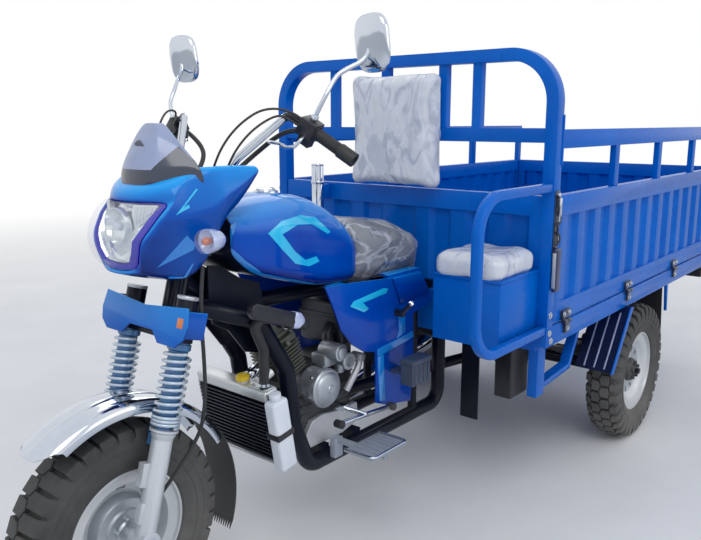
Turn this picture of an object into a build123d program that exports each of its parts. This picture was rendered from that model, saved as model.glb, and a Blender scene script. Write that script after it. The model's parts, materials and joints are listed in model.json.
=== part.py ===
from build123d import *
import math
import os

os.makedirs("parts", exist_ok=True)

# Cargo motor tricycle, millimetres. +Z up, +X to the vehicle's left, the front wheel towards -Y.
# The origin is on the ground, under the middle of the whole vehicle.

# driving dimensions
tyre_radius = 285
tyre_width = 130
rim_radius = 166
axle_height = tyre_radius
front_axle_y = -1507
rear_axle_y = 588
rear_wheel_x = 560
axle_radius = 12
hub_bore = axle_radius + 0.05

bed_half_width = 600
bed_front_y = -302
bed_rear_y = 1771
floor_rail_z0 = 594
floor_rail_z1 = 660
deck_top_z = 656
panel_z0 = 666
panel_top_z = 1084
rail_height = 66
guard_z0 = 1231
guard_z1 = 1290
gate_thickness = 30
sheet = 3
hoop_tube_x = 40
hoop_tube_y = 45
hoop_top_z = 1541
hoop_corner = 170
mid_rail_z0 = 1249
mid_rail_z1 = 1294
leg_in = bed_half_width - hoop_tube_x
side_hinge_x = 612
tail_hinge_y = 1784
hinge_z = 663
knuckle_radius = 8

rake = math.radians(16)
fork_offset = 45
fork_leg_x = 108
slider_radius = 27
stanchion_radius = 17
spring_radius = 37.5
stem_radius = 17
handlebar_radius = 11

chassis_rail_x = 380
chassis_rail_z0 = 508
chassis_rail_z1 = 578
cradle_x = 105
cradle_radius = 26
cradle_z = 258

from_bottom = (Align.CENTER, Align.CENTER, Align.MIN)
steer_sin = math.sin(rake)
steer_cos = math.cos(rake)
steer_origin = (0, front_axle_y + fork_offset * steer_cos, axle_height - fork_offset * steer_sin)
steer_plane = Plane(origin=steer_origin, x_dir=(1, 0, 0), z_dir=(0, steer_sin, steer_cos))


def block(x0, x1, y0, y1, z0, z1):
    size = Box(abs(x1 - x0), y1 - y0, z1 - z0)
    return Pos((x0 + x1) / 2, (y0 + y1) / 2, (z0 + z1) / 2) * size


def cylinder_along(start, end, radius):
    plane = Plane(origin=start, z_dir=Vector(*end) - Vector(*start))
    return extrude(plane * Circle(radius), (Vector(*end) - Vector(*start)).length)


def bent_tube(points, radius, bend):
    path = FilletPolyline(*points, radius=bend)
    start = Plane(origin=points[0], z_dir=Vector(*points[1]) - Vector(*points[0]))
    return sweep(start * Circle(radius), path=path)


def cord_tube(points, radius):
    """A flexible cord along a route, with the largest arc that fits at each corner."""
    route = [Vector(*point) for point in points]
    bends = []
    for before, corner, after in zip(route, route[1:], route[2:]):
        run_in = corner - before
        run_out = after - corner
        turn = math.radians(run_in.get_angle(run_out))
        bends.append(0.45 * min(run_in.length, run_out.length) / math.tan(turn / 2))
    path = FilletPolyline(*points, radius=bends)
    start = Plane(origin=points[0], z_dir=route[1] - route[0])
    return sweep(start * Circle(radius), path=path)


def side_profile(points, x0, x1):
    """A shape drawn in (Y, Z) and given its width along X."""
    face = Plane.YZ * make_face(Polyline(*points, close=True))
    return Pos(min(x0, x1), 0, 0) * extrude(face, abs(x1 - x0))


def mirrored(shape):
    return mirror(shape, about=Plane.YZ)


def both_sides(shape):
    return [shape, mirrored(shape)]


def in_steering(shape):
    """Places a shape drawn with Z up the steering axis and Z = 0 at the height of the front axle."""
    return steer_plane * shape


def bed_y(offset):
    """Y of a point that lies this far behind the front face of the bed."""
    return bed_front_y + offset


def save(name, *shapes):
    solids = []
    for shape in shapes:
        solids.extend(shape.solids())
    result = solids[0] if len(solids) == 1 else Compound(children=solids)
    result.label = name
    export_step(result, f"parts/{name}.step")


# wheels: tyre, and a pressed steel rim on a hub
hub_half = 42
web_thickness = 8


def ring_section(points):
    return make_face(Polyline(*points, close=True))


def make_tyre(x, y):
    half = tyre_width / 2
    bead = rim_radius - 12
    outline = [(0.62, bead), (0.92, bead + 30), (1, bead + 62), (0.93, tyre_radius - 26),
               (0.72, tyre_radius - 6)]
    points = [(-half * part, radius) for part, radius in outline]
    points.append((0, tyre_radius))
    points += [(half * part, radius) for part, radius in reversed(outline)]
    points += [(half * 0.55, bead + 14), (-half * 0.55, bead + 14)]
    return Pos(x, y, axle_height) * revolve(ring_section(points), axis=Axis.X)


def make_rim(x, y, web_x, hub_radius):
    half = tyre_width / 2
    well = 128
    barrel = [(-half * 0.6, well - 6), (-half * 0.6 - 4, rim_radius - 14), (-half * 0.69, rim_radius),
              (-half * 0.75, rim_radius), (-half * 0.75, well - 12), (half * 0.75, well - 12),
              (half * 0.75, rim_radius), (half * 0.69, rim_radius), (half * 0.6 + 4, rim_radius - 14),
              (half * 0.6, well - 6)]
    web = [(web_x - web_thickness / 2, hub_bore), (web_x + web_thickness / 2, hub_bore),
           (web_x + web_thickness / 2, well - 8), (web_x - web_thickness / 2, well - 8)]
    hub = [(-hub_half, hub_bore), (hub_half, hub_bore), (hub_half, hub_radius), (-hub_half, hub_radius)]
    rim = Part()
    for section in (barrel, web, hub):
        rim += revolve(ring_section(section), axis=Axis.X)
    return Pos(x, y, axle_height) * rim


save("front_tyre", make_tyre(0, front_axle_y))
save("front_rim", make_rim(0, front_axle_y, -12, 86))
for name, side in (("left", 1), ("right", -1)):
    save(f"rear_tyre_{name}", make_tyre(side * rear_wheel_x, rear_axle_y))
    save(f"rear_rim_{name}", make_rim(side * rear_wheel_x, rear_axle_y, side * 8, 48))

# front fork: two sliders with springs round them, short upper tubes in a yoke, and the steering stem
leg_y = -fork_offset
slider_top = 270
spring_z0 = 286
spring_z1 = 484
yoke_z0 = 505
yoke_z1 = 531
leg_top = 616
head_z0 = yoke_z1 + 5
head_z1 = 736
bracket_z0 = head_z1 + 6
bracket_z1 = bracket_z0 + 24
bar_y = -8
bar_z = 887
steering_sweep = 76
fender_half = 68
fender_arm_x = fender_half + 0.2

fork = Part()
for side in (1, -1):
    leg = Pos(side * fork_leg_x, leg_y, 0)
    fork += leg * Pos(0, 0, -30) * Cylinder(slider_radius, slider_top + 30, align=from_bottom)
    fork += leg * Pos(0, 0, slider_top) * Cylinder(stanchion_radius, leg_top - slider_top, align=from_bottom)
    fork += leg * Pos(0, 0, spring_z1) * Cylinder(spring_radius - 11, leg_top - spring_z1, align=from_bottom)
    fork += leg * Pos(0, 0, yoke_z0) * Cylinder(spring_radius - 7, yoke_z1 - yoke_z0, align=from_bottom)
    fork += leg * Pos(-side * 8, -30, 168) * Box(22, 26, 60)
    arm_x = side * fork_leg_x - side * (slider_radius - 4)
    fork += block(side * fender_arm_x, arm_x, leg_y - 15, leg_y + 15, 236, 264)
    fork += block(side * fender_arm_x, side * (fender_arm_x + 2), leg_y - 15, leg_y + 15, 236, 322)
yoke = Rectangle(2 * fork_leg_x, 50)
yoke_plate = Pos(0, leg_y + 4, yoke_z0) * extrude(yoke, yoke_z1 - yoke_z0)
fork += yoke_plate + Pos(0, 0, yoke_z0) * Cylinder(34, yoke_z1 - yoke_z0, align=from_bottom)
fork += Pos(0, 0, yoke_z0) * Cylinder(stem_radius, bracket_z1 - yoke_z0, align=from_bottom)
fork += cylinder_along((-fork_leg_x - 40, leg_y, 0), (fork_leg_x + 40, leg_y, 0), axle_radius)
fork += block(-60, 60, -34, 30, bracket_z0, bracket_z1)
bar_bore = cylinder_along((-80, bar_y, bar_z), (80, bar_y, bar_z), handlebar_radius)
for side in (1, -1):
    riser = Pos(side * 42, bar_y, bracket_z1) * Cylinder(12, bar_z - bracket_z1, align=from_bottom)
    cap = Pos(side * 42, bar_y, bar_z) * Box(24, 36, 34)
    fork += riser + cap
fork -= bar_bore
save("front_fork", in_steering(fork))

coil = Cylinder(spring_radius, spring_z1 - spring_z0, align=from_bottom)
coil -= Cylinder(stanchion_radius + 1, spring_z1 - spring_z0, align=from_bottom)
save("fork_springs", *[in_steering(Pos(side * fork_leg_x, leg_y, spring_z0) * coil) for side in (1, -1)])

# front fender: an arc round the tyre with turned-down edges, and its rubber flap
fender_radius = 352
fender_start = -40
fender_end = 62


def fender_arc(radius_out, radius_in, half, start, end):
    """Arc strip round the front axle; angles in degrees from straight up, towards the rear."""
    ring = Rot(0, 90, 0) * (Cylinder(radius_out, 2 * half) - Cylinder(radius_in, 2 * half))
    reach = 1.5 * radius_out
    corners = [(0, 0)]
    for angle in (start, (start + end) / 2, end):
        corners.append((reach * math.sin(math.radians(angle)), reach * math.cos(math.radians(angle))))
    wedge = side_profile(corners, -half, half)
    return Pos(0, front_axle_y, axle_height) * (ring & wedge)


front_fender = fender_arc(fender_radius, fender_radius - sheet, fender_half, fender_start, fender_end)
for side in (1, -1):
    lip = fender_arc(fender_radius - sheet, fender_radius - 38, sheet / 2, fender_start + 4, fender_end)
    front_fender += Pos(side * (fender_half - sheet / 2), 0, 0) * lip
save("front_fender", front_fender)
save("front_fender_flap", fender_arc(fender_radius - 4, fender_radius - 8, fender_half - 5, fender_end, 113))

# fork cover: a plate across both legs with a lobe over each spring and a return at each end
cover_half = 182
cover_right = [(0, 522), (48, 522), (76, 494), (146, 494), (174, 516), (cover_half, 548), (172, 596),
               (110, 590), (0, 580)]
cover_outline = cover_right + [(-x, z) for x, z in reversed(cover_right[1:-1])]
cover_face = leg_y - 42
cover = extrude(Plane.XZ.offset(-cover_face) * make_face(Polyline(*cover_outline, close=True)), 5)
for side in (1, -1):
    cover += block(side * 166, side * 171, cover_face, cover_face + 62, 520, 588)
    cover += block(side * (fork_leg_x - 20), side * (fork_leg_x + 20), cover_face, leg_y - spring_radius + 11, 540, 570)
cover = in_steering(cover)
cover -= in_steering(fork)
save("fork_cover", cover)


# headlight fairing: an open-backed shell that narrows to a nose, with a wing on each side
def fairing_section(y, half_top, half_mid, half_low, z_top, z_mid, z_low):
    right = [(half_low, z_low), (half_mid, z_mid), (half_top, z_top)]
    points = right + [(-x, z) for x, z in reversed(right)]
    return Plane.XZ.offset(-y) * make_face(Polyline(*points, close=True))


wall = 4
fairing_stations = [
    (bed_y(-1208), 36, 54, 40, 1072, 1025, 962),
    (bed_y(-1135), 98, 124, 76, 1166, 1085, 940),
    (bed_y(-1065), 124, 160, 108, 1192, 1100, 927),
    (bed_y(-1010), 142, 174, 136, 1205, 1112, 972),
    (bed_y(-915), 156, 178, 164, 1207, 1150, 1098),
    (bed_y(-845), 166, 178, 174, 1203, 1193, 1184)]
fairing_outer = loft([fairing_section(*station) for station in fairing_stations], ruled=True)
inner_stations = []
for index, (y, top, mid, low, z_top, z_mid, z_low) in enumerate(fairing_stations):
    opened = 60 if index > 2 else -wall
    shift = wall + 2 if index == 0 else 0
    inner_stations.append((y + shift, top - wall, mid - wall, low - wall, z_top - wall, z_mid, z_low - opened))
last = inner_stations[-1]
inner_stations.append((last[0] + 20, *last[1:]))
fairing_inner = loft([fairing_section(*station) for station in inner_stations], ruled=True)
lens_right = [(60, 964), (66, 1040), (104, 1092), (118, 1122)]
lens_outline = lens_right + [(-x, z) for x, z in reversed(lens_right)]


def lens_face(y, scale, lift):
    points = [(x * scale, (z - 1045) * scale + 1045 + lift) for x, z in lens_outline]
    return Plane.XZ.offset(-y) * make_face(Polyline(*points, close=True))


lens_hole = loft([lens_face(bed_y(-1250), 1.02, 0), lens_face(bed_y(-1060), 1.02, 0)], ruled=True)
cockpit = extrude(Pos(0, 0, 1150) * make_face(Polyline(
    (-118, bed_y(-1000)), (118, bed_y(-1000)), (150, bed_y(-830)), (-150, bed_y(-830)), close=True)), 100)
fairing = fairing_outer - fairing_inner - lens_hole - cockpit
save("headlight_fairing", fairing)

headlight = loft([lens_face(bed_y(-1216), 0.42, 4), lens_face(bed_y(-1150), 0.98, 0),
                  lens_face(bed_y(-1085), 0.96, 0)], ruled=True)
reflector = loft([Plane.XZ.offset(-bed_y(-1085)) * (Pos(0, 1040) * Rectangle(120, 110)),
                  Plane.XZ.offset(-bed_y(-1045)) * (Pos(0, 1040) * Rectangle(70, 70))], ruled=True)
save("headlight", headlight + reflector - fairing)


# smoked screen: a bent sheet standing on the fairing
def screen_section(z, facet, front, end, back, inset):
    bend = front + (back - front) * 0.1
    points = [(end - inset, back), (facet - inset * 0.5, bend + inset), (0, front + inset)]
    outline = points + [(-x, y) for x, y in reversed(points[:-1])]
    return Pos(0, 0, z) * make_face(Polyline(*outline, close=True))


screen_sizes = [(1160, 60, bed_y(-1110), 152, bed_y(-1000)), (1199, 60, bed_y(-1108), 150, bed_y(-1004)),
                (1240, 52, bed_y(-1085), 112, bed_y(-1018)), (1279, 45, bed_y(-1063), 72, bed_y(-1026)),
                (1312, 22, bed_y(-1046), 30, bed_y(-1024))]
screen_shell = []
for inset in (0, sheet):
    screen_shell.append(loft([screen_section(*size, inset) for size in screen_sizes], ruled=True))
screen = screen_shell[0] - screen_shell[1] - fairing_outer
save("windshield", screen.solids().sort_by(SortBy.VOLUME)[-1])

signal_x = 200
signal = cylinder_along((148, bed_y(-1022), 1033), (signal_x - 2, bed_y(-1022), 1033), 10)
signal += cylinder_along((signal_x, bed_y(-1034), 1033), (signal_x, bed_y(-1065), 1033), 30)
signal += extrude(Plane(origin=(signal_x, bed_y(-1035), 1033), z_dir=(0, 1, 0)) * Circle(30), 38, taper=22)
signal -= fairing_outer
save("front_turn_signals", *both_sides(signal))

# handlebar, hand controls and mirrors
bar_end = Vector(385, bed_y(-722), 1222)
bar_peak = Vector(215, bed_y(-771), 1334)
bar_centre = steer_plane.from_local_coords(Vector(0, bar_y, bar_z))
half_bar = [tuple(bar_end), tuple(bar_peak), (120, bed_y(-868), 1220), (78, bar_centre.Y, bar_centre.Z)]
handlebar = bent_tube(half_bar + [(-x, y, z) for x, y, z in reversed(half_bar)], handlebar_radius, 24)
save("handlebar", handlebar)

grip_plane = Plane(origin=bar_end, x_dir=bar_peak - bar_end,
                   z_dir=(bar_peak - bar_end).cross(Vector(0, 1, 0)) * -1)
grip_length = 116
pod_end = grip_length + 48
pod_half = 23
grip_bore = Pos(80, 0, 0) * Rot(0, 90, 0) * Cylinder(handlebar_radius, 190)
grip_cap = 40
control = Pos((grip_cap - 8) / 2, 0, 0) * Rot(0, 90, 0) * Cylinder(19, grip_cap + 8)
control += Pos((grip_cap + grip_length) / 2, 0, 0) * Rot(0, 90, 0) * Cylinder(15.5, grip_length - grip_cap + 2)
control += block(grip_length, pod_end, -pod_half, pod_half, -pod_half, pod_half)
control += block(grip_length + 2, pod_end - 10, -14, 14, -44, -pod_half + 1)
control -= grip_bore
control = grip_plane * control
control += bent_tube([(271, bed_y(-764), 1285), (274, bed_y(-792), 1268), (260, bed_y(-800), 1251),
                      (234, bed_y(-802), 1249), (206, bed_y(-802), 1259), (168, bed_y(-802), 1262)], 4.5, 9)
save("hand_controls", *both_sides(control))

mirror_foot = grip_plane.from_local_coords(Vector(grip_length + 24, 0, pod_half))
mirror_up = grip_plane.z_dir
stalk_points = [tuple(mirror_foot), tuple(mirror_foot + mirror_up * 52), (324, bed_y(-712), 1428),
                (376, bed_y(-646), 1470)]
mirror_plane = Plane(origin=(378, bed_y(-648), 1508), x_dir=(1, 0, 0), z_dir=(0.1, 1, 0.14))
mirror_head = extrude(mirror_plane * RectangleRounded(112, 148, 38), 22)
save("mirrors", *both_sides(bent_tube(stalk_points, 6, 20) + mirror_head))

# brake hose, and on each side two control cables and a wiring harness from the fairing to the hand controls
brake_hose = cord_tube([(140, bed_y(-1010), 960), (152, bed_y(-1034), 860), (156, bed_y(-1030), 720),
                        (154, bed_y(-1030), 600), (142, bed_y(-1052), 500), (90, bed_y(-1140), 372)], 5)
save("brake_hose", brake_hose)

cable_in_pod = [tuple(grip_plane.from_local_coords(Vector(x, 12, z))) for x, z in ((204, 16), (pod_end - 4, 14))]
lower_in_pod = [tuple(grip_plane.from_local_coords(Vector(x, 22, -2))) for x in (202, pod_end - 4)]
outer_cable = cord_tube([(98, bed_y(-952), 1150), (119, bed_y(-942), 1215), (143, bed_y(-924), 1270),
                         (170, bed_y(-890), 1316), (198, bed_y(-842), 1348)] + cable_in_pod, 3)
inner_cable = cord_tube([(104, bed_y(-914), 1150), (126, bed_y(-901), 1214), (151, bed_y(-880), 1264),
                         (174, bed_y(-848), 1302), (203, bed_y(-808), 1330)] + lower_in_pod, 3)
harness = cord_tube([(62, bed_y(-900), 1110), (70, bed_y(-850), 1170), (92, bed_y(-803), 1214),
                     (122, bed_y(-785), 1242), (165, bed_y(-780), 1270), (215, bed_y(-776), 1292),
                     (262, bed_y(-768), 1292)], 6.5)
cables = []
for cable in (outer_cable, inner_cable, harness):
    for solid in (cable - grip_plane * block(grip_length, pod_end, -pod_half, pod_half, -pod_half, pod_half)).solids():
        cables.extend(both_sides(solid))
save("control_cables", *cables)

# cargo bed: deck, frame and hoop
cross_members = (bed_y(0), bed_y(420), bed_y(840), bed_y(1260), bed_y(1660), bed_rear_y - 40)
deck_z0 = deck_top_z - 12
deck = block(-leg_in - 30, leg_in + 30, bed_y(4), bed_rear_y - 6, deck_z0, deck_z0 + 4)
rib_count = 7
for index in range(rib_count):
    rib_x = (index - (rib_count - 1) / 2) * 160
    deck += block(rib_x - 12, rib_x + 12, bed_y(20), bed_rear_y - 24, deck_z0 + 4, deck_top_z)
save("bed_floor", deck)

hinge_offsets = (131, 715, 1300, 1880)
tail_hinge_x = (-430, 0, 430)
leaf_drop = 40
side_leaves = Part()
for offset in hinge_offsets:
    y = bed_y(offset)
    side_leaves += block(bed_half_width - 1, side_hinge_x - 3, y - 5, y + 30, floor_rail_z1 - leaf_drop,
                         floor_rail_z1 - 10)
    side_leaves += cylinder_along((side_hinge_x, y - 5, hinge_z), (side_hinge_x, y + 20, hinge_z), knuckle_radius)
    side_leaves += block(side_hinge_x - 8, side_hinge_x - 2, y - 5, y + 20, floor_rail_z1 - 14, hinge_z)

bed_frame = Part()
for side in (1, -1):
    inset = side * 4
    outer_x = side * bed_half_width
    inner_x = side * (bed_half_width - 40)
    bed_frame += block(outer_x, inner_x, bed_y(0), bed_rear_y, floor_rail_z0, floor_rail_z1)
    bed_frame -= block(outer_x - inset, inner_x - inset, bed_y(4), bed_rear_y - 4, floor_rail_z0 + 4,
                       floor_rail_z1 - 4)
for y in cross_members:
    bed_frame += block(-bed_half_width + 36, bed_half_width - 36, y, y + 40, chassis_rail_z1, deck_z0)
bed_frame += block(-leg_in, leg_in, bed_y(0), bed_y(4), deck_z0, floor_rail_z1)
bed_frame += block(-leg_in, leg_in, bed_rear_y - 4, bed_rear_y, deck_z0, floor_rail_z1)
bed_frame -= block(-leg_in - 31, leg_in + 31, bed_y(4), bed_rear_y - 5, deck_z0, floor_rail_z1 + 1)
step_x0 = 532
step_x1 = 566
step = block(step_x0, step_x1, bed_y(20), bed_y(76), 410, floor_rail_z0 + 2)
step += side_profile([(bed_y(60), 430), (bed_y(286), 446), (bed_y(372), floor_rail_z0 + 2),
                      (bed_y(352), floor_rail_z0 + 2), (bed_y(272), 466), (bed_y(60), 450)], step_x0, step_x1)
for part in both_sides(side_leaves) + both_sides(step):
    bed_frame += part
for x in tail_hinge_x:
    bed_frame += block(x - 5, x + 30, bed_rear_y - 1, tail_hinge_y - 3, floor_rail_z1 - leaf_drop,
                       floor_rail_z1 - 10)
    bed_frame += cylinder_along((x - 5, tail_hinge_y, hinge_z), (x + 20, tail_hinge_y, hinge_z), knuckle_radius)
    bed_frame += block(x - 5, x + 20, tail_hinge_y - 8, tail_hinge_y - 2, floor_rail_z1 - 14, hinge_z)
save("bed_frame", bed_frame)

hoop_height = hoop_top_z - floor_rail_z1
hoop_outer = RectangleRounded(2 * bed_half_width, 2 * hoop_height, hoop_corner)
hoop_inner = RectangleRounded(2 * leg_in, 2 * (hoop_height - hoop_tube_x), hoop_corner - hoop_tube_x)
hoop = extrude(Plane.XZ * (hoop_outer - hoop_inner), -hoop_tube_y)
hoop = Pos(0, bed_front_y, floor_rail_z1) * hoop
hoop -= block(-700, 700, bed_y(-50), bed_y(100), -500, floor_rail_z1)
hoop += block(-leg_in, leg_in, bed_y(6), bed_y(38), mid_rail_z0, mid_rail_z1)
for upright_x in (-310, -66, 178, 310):
    hoop += block(upright_x - 16, upright_x + 16, bed_y(8), bed_y(36), mid_rail_z1, hoop_top_z - 20)
save("headboard_hoop", hoop)

# framed gates with a corrugated sheet
rib_pitch = 140
rib_depth = 14


def corrugated(length, height):
    """Sheet with upright trapezoid ribs along X, standing on Z = 0."""
    count = round(length / rib_pitch)
    step = length / count
    front = []
    for index in range(count):
        x = index * step
        front += [(x, 0), (x + step * 0.38, 0), (x + step * 0.5, rib_depth), (x + step * 0.88, rib_depth)]
    front.append((length, 0))
    back = [(x, y + sheet) for x, y in reversed(front)]
    return extrude(make_face(Polyline(*(front + back), close=True)), height)


def gate_panel(length, height):
    """Framed panel in X (0..length), Y (0..gate_thickness), Z (0..height); Y = 0 is outside."""
    frame = block(0, length, 0, gate_thickness, 0, rail_height)
    frame += block(0, length, 0, gate_thickness, height - rail_height, height)
    frame += block(0, 40, 0, gate_thickness, 0, height)
    frame += block(length - 40, length, 0, gate_thickness, 0, height)
    return frame + Pos(39, 8, rail_height - 2) * corrugated(length - 78, height - 2 * rail_height + 4)


panel_height = panel_top_z - panel_z0
front_panel = Pos(-leg_in + 1, bed_y(4), floor_rail_z1) * gate_panel(2 * leg_in - 2, panel_top_z - floor_rail_z1)
save("front_panel", front_panel)

gate_start = bed_y(50)
gate_length = bed_rear_y - 2 - gate_start
post_offsets = (543, 1024, 1505)
flat_z0 = panel_z0 + 9
flat_z1 = panel_z0 + 34

gate_place = Pos(bed_half_width - 2, gate_start, panel_z0) * Rot(0, 0, 90)
left_gate = gate_place * gate_panel(gate_length, panel_height)
guard_rail = block(4, gate_length, 4, gate_thickness, guard_z0 - panel_z0, guard_z1 - panel_z0)
post_centres = [offset - 50 for offset in post_offsets] + [gate_length - 20]
for centre in post_centres:
    guard_rail += block(centre - 20, centre + 20, 6, 28, panel_height, guard_z0 - panel_z0 + 4)
left_guard_rail = gate_place * guard_rail
for offset in hinge_offsets:
    y = bed_y(offset)
    left_gate += block(bed_half_width - 3, side_hinge_x - 3, y - 30, y + 30, flat_z0, flat_z1)
    left_gate += cylinder_along((side_hinge_x, y - 30, hinge_z), (side_hinge_x, y - 8, hinge_z), knuckle_radius)
    left_gate += block(side_hinge_x - 8, side_hinge_x - 2, y - 30, y - 8, hinge_z, flat_z0 + 4)
save("left_gate", left_gate)
save("right_gate", mirrored(left_gate))
save("left_guard_rail", left_guard_rail)
save("right_guard_rail", mirrored(left_guard_rail))

tail_half = leg_in + 4
tailgate = Rot(0, 0, 180) * gate_panel(2 * tail_half, panel_height)
tailgate = Pos(tail_half, bed_rear_y - 4, panel_z0) * tailgate
for x in tail_hinge_x:
    tailgate += block(x - 30, x + 30, bed_rear_y - 5, tail_hinge_y - 3, flat_z0, flat_z1)
    tailgate += cylinder_along((x - 30, tail_hinge_y, hinge_z), (x - 8, tail_hinge_y, hinge_z), knuckle_radius)
    tailgate += block(x - 30, x - 8, tail_hinge_y - 8, tail_hinge_y - 2, hinge_z, flat_z0 + 4)
save("tailgate", tailgate)

# guard loop, latches, seat box, backrest pad and canopy post
loop_x = bed_half_width - 16
loop_points = [(loop_x, bed_y(0), 1112), (loop_x, bed_y(-430), 1112), (loop_x, bed_y(-430), 652),
               (loop_x, bed_y(0), 652)]
loop_path = FilletPolyline(*loop_points, radius=110)
loop_start = Plane(origin=loop_points[0], x_dir=(1, 0, 0), z_dir=(0, -1, 0))
save("side_guard_loop", sweep(loop_start * Rectangle(28, 28), path=loop_path))

latch = block(bed_half_width, bed_half_width + 12, bed_y(4), bed_y(40), 900, 1104)
latch += block(bed_half_width, bed_half_width + 20, bed_y(3), bed_y(42), 778, 924)
save("gate_latches", *both_sides(latch))

box_x0 = 330
box_x1 = 564
box_y0 = bed_y(-252)
box_y1 = bed_y(-1)
box_z0 = 640
box_z1 = 842
box_hinge_x = box_x0 - 8
box_hinge_z = box_z1 + 4
box_knuckle = 5


def box_hinge(y, z0, z1):
    knuckle = cylinder_along((box_hinge_x, y, box_hinge_z), (box_hinge_x, y + 18, box_hinge_z), box_knuckle)
    return knuckle + block(box_hinge_x, box_x0, y, y + 18, z0, z1)


seat_box = block(box_x0, box_x1, box_y0, box_y1, box_z0, box_z1)
seat_box -= block(box_x0 + sheet, box_x1 - sheet, box_y0 + sheet, box_y1 - sheet, box_z0 + sheet, box_z1 + 1)
for y in (box_y0 + 30, box_y1 - 70):
    seat_box += box_hinge(y, box_z1 - 12, box_hinge_z)
seat_box += block(box_x0 + 30, box_x1 - 30, bed_y(-60), bed_y(0), floor_rail_z0 + 2, box_z0)
save("seat_box", seat_box)

lid_z0 = box_z1 + 1
lid_z1 = lid_z0 + 8
lid = block(box_x0, box_x1 + 3, box_y0 - 4, box_y1, lid_z0, lid_z1)
for y in (box_y0 + 50, box_y1 - 50):
    lid += box_hinge(y, box_hinge_z, lid_z1)
save("seat_box_lid", lid)

cushion_x0 = box_x0 - 4
cushion_x1 = box_x1 + 4
cushion_y0 = box_y0 - 22
cushion_y1 = box_y1 - 4
cushion = Pos((cushion_x0 + cushion_x1) / 2, (cushion_y0 + cushion_y1) / 2, lid_z1) * extrude(
    RectangleRounded(cushion_x1 - cushion_x0, cushion_y1 - cushion_y0, 35), 62)
cushion = fillet(cushion.faces().sort_by(Axis.Z)[-1].edges(), 20)
save("seat_box_cushion", cushion)

pad = Pos(20, bed_y(-42), 1282) * Box(384, 60, 400)
pad = fillet(pad.edges(), 24)
pad += block(-140, 180, bed_y(-14), bed_y(6), mid_rail_z0 + 4, mid_rail_z1 - 4)
save("backrest_pad", pad)

post_x = -334
post_y = bed_y(-60)
post_radius = 23
post_top = 1156
post_collar_z = 1080
canopy_post = Pos(post_x, post_y, floor_rail_z0) * Cylinder(post_radius, post_top - floor_rail_z0,
                                                            align=from_bottom)
canopy_post += Pos(post_x, post_y, post_collar_z) * Cylinder(post_radius + 3, 12, align=from_bottom)
canopy_post += block(post_x - 12, post_x + 12, post_y, bed_y(0), floor_rail_z0, floor_rail_z0 + 50)
canopy_post += block(post_x - 12, post_x + 12, post_y, bed_y(4), panel_top_z - 60, panel_top_z - 6)
save("canopy_post", canopy_post)

# main frame: head tube, backbone, engine cradle, rear uprights and the chassis under the bed
head_tube = Cylinder(30, head_z1 - head_z0, align=from_bottom)
head_bore = Cylinder(stem_radius + 1, head_z1 - head_z0, align=from_bottom)
neck = steer_plane.from_local_coords(Vector(0, 0, 650))
main_frame = bent_tube([(0, neck.Y + 10, neck.Z), (0, bed_y(-850), 800), (0, bed_y(-40), 765)], 24, 60)
for side in (1, -1):
    x = side * cradle_x
    main_frame += bent_tube([(side * 20, neck.Y + 6, neck.Z - 60), (x, bed_y(-800), 770),
                             (x, bed_y(-690), 600), (x, bed_y(-664), 420), (x, bed_y(-600), cradle_z),
                             (x, bed_y(134), cradle_z), (x, bed_y(134), chassis_rail_z0 + 10)],
                            cradle_radius, 60)
    main_frame += cylinder_along((x, bed_y(-37), 765), (x, bed_y(-37), cradle_z), 16)
    main_frame += side_profile([(bed_y(-925), 815), (bed_y(-925), 938), (bed_y(-885), 932), (bed_y(-815), 888),
                                (bed_y(-740), 862), (bed_y(-727), 806), (bed_y(-760), 735), (bed_y(-700), 640),
                                (bed_y(-800), 668), (bed_y(-860), 745), (bed_y(-914), 774)],
                               side * 48, side * 54)
    main_frame += block(side * 262, side * 332, bed_y(46), bed_y(52), 262, chassis_rail_z0 + 30)
    main_frame += block(side * 262, side * 362, bed_y(46), bed_y(90), chassis_rail_z0 + 6, chassis_rail_z0 + 30)
    main_frame += block(side * (chassis_rail_x - 22), side * (chassis_rail_x + 22), bed_y(40), bed_y(1960),
                        chassis_rail_z0, chassis_rail_z1)
    main_frame += block(x - side * 20, side * 188, bed_y(-60), bed_y(-40), 745, 775)
main_frame += block(-cradle_x - 16, cradle_x + 16, bed_y(-56), bed_y(-20), 745, 785)
engine_mounts = (bed_y(-540), bed_y(-380))
for y in engine_mounts:
    main_frame += block(-cradle_x, cradle_x, y, y + 40, cradle_z - 6, 300)
for y in (bed_y(112), bed_y(640), bed_y(1180), bed_y(1900)):
    main_frame += block(-chassis_rail_x, chassis_rail_x, y, y + 44, chassis_rail_z0 + 6, chassis_rail_z1 - 6)
main_frame += in_steering(Pos(0, 0, head_z0) * head_tube)
main_frame -= in_steering(Pos(0, 0, head_z0) * head_bore)
save("main_frame", main_frame)

# engine: one block with a leaning cylinder, the magneto cover, the clutch cover and a starter
crankcase = block(-120, 82, bed_y(-626), bed_y(-330), 300, 560)
crankcase = fillet(crankcase.edges().filter_by(Axis.X), 55)
engine = crankcase + block(-60, 60, bed_y(-560), bed_y(-350), 300, 330)
engine += cylinder_along((80, bed_y(-556), 505), (152, bed_y(-556), 505), 62)
engine += cylinder_along((-118, bed_y(-520), 470), (-150, bed_y(-520), 470), 84)
engine += cylinder_along((60, bed_y(-470), 600), (140, bed_y(-470), 600), 30)
engine += block(20, 100, bed_y(-500), bed_y(-440), 540, 610)
barrel_plane = Plane(origin=(0, bed_y(-600), 540), x_dir=(1, 0, 0), z_dir=(0, -0.35, 1))
barrel_depth = 116
engine += extrude(barrel_plane * Rectangle(120, barrel_depth), 150)
engine -= main_frame
save("engine", engine.solids().sort_by(SortBy.VOLUME)[-1])

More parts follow.
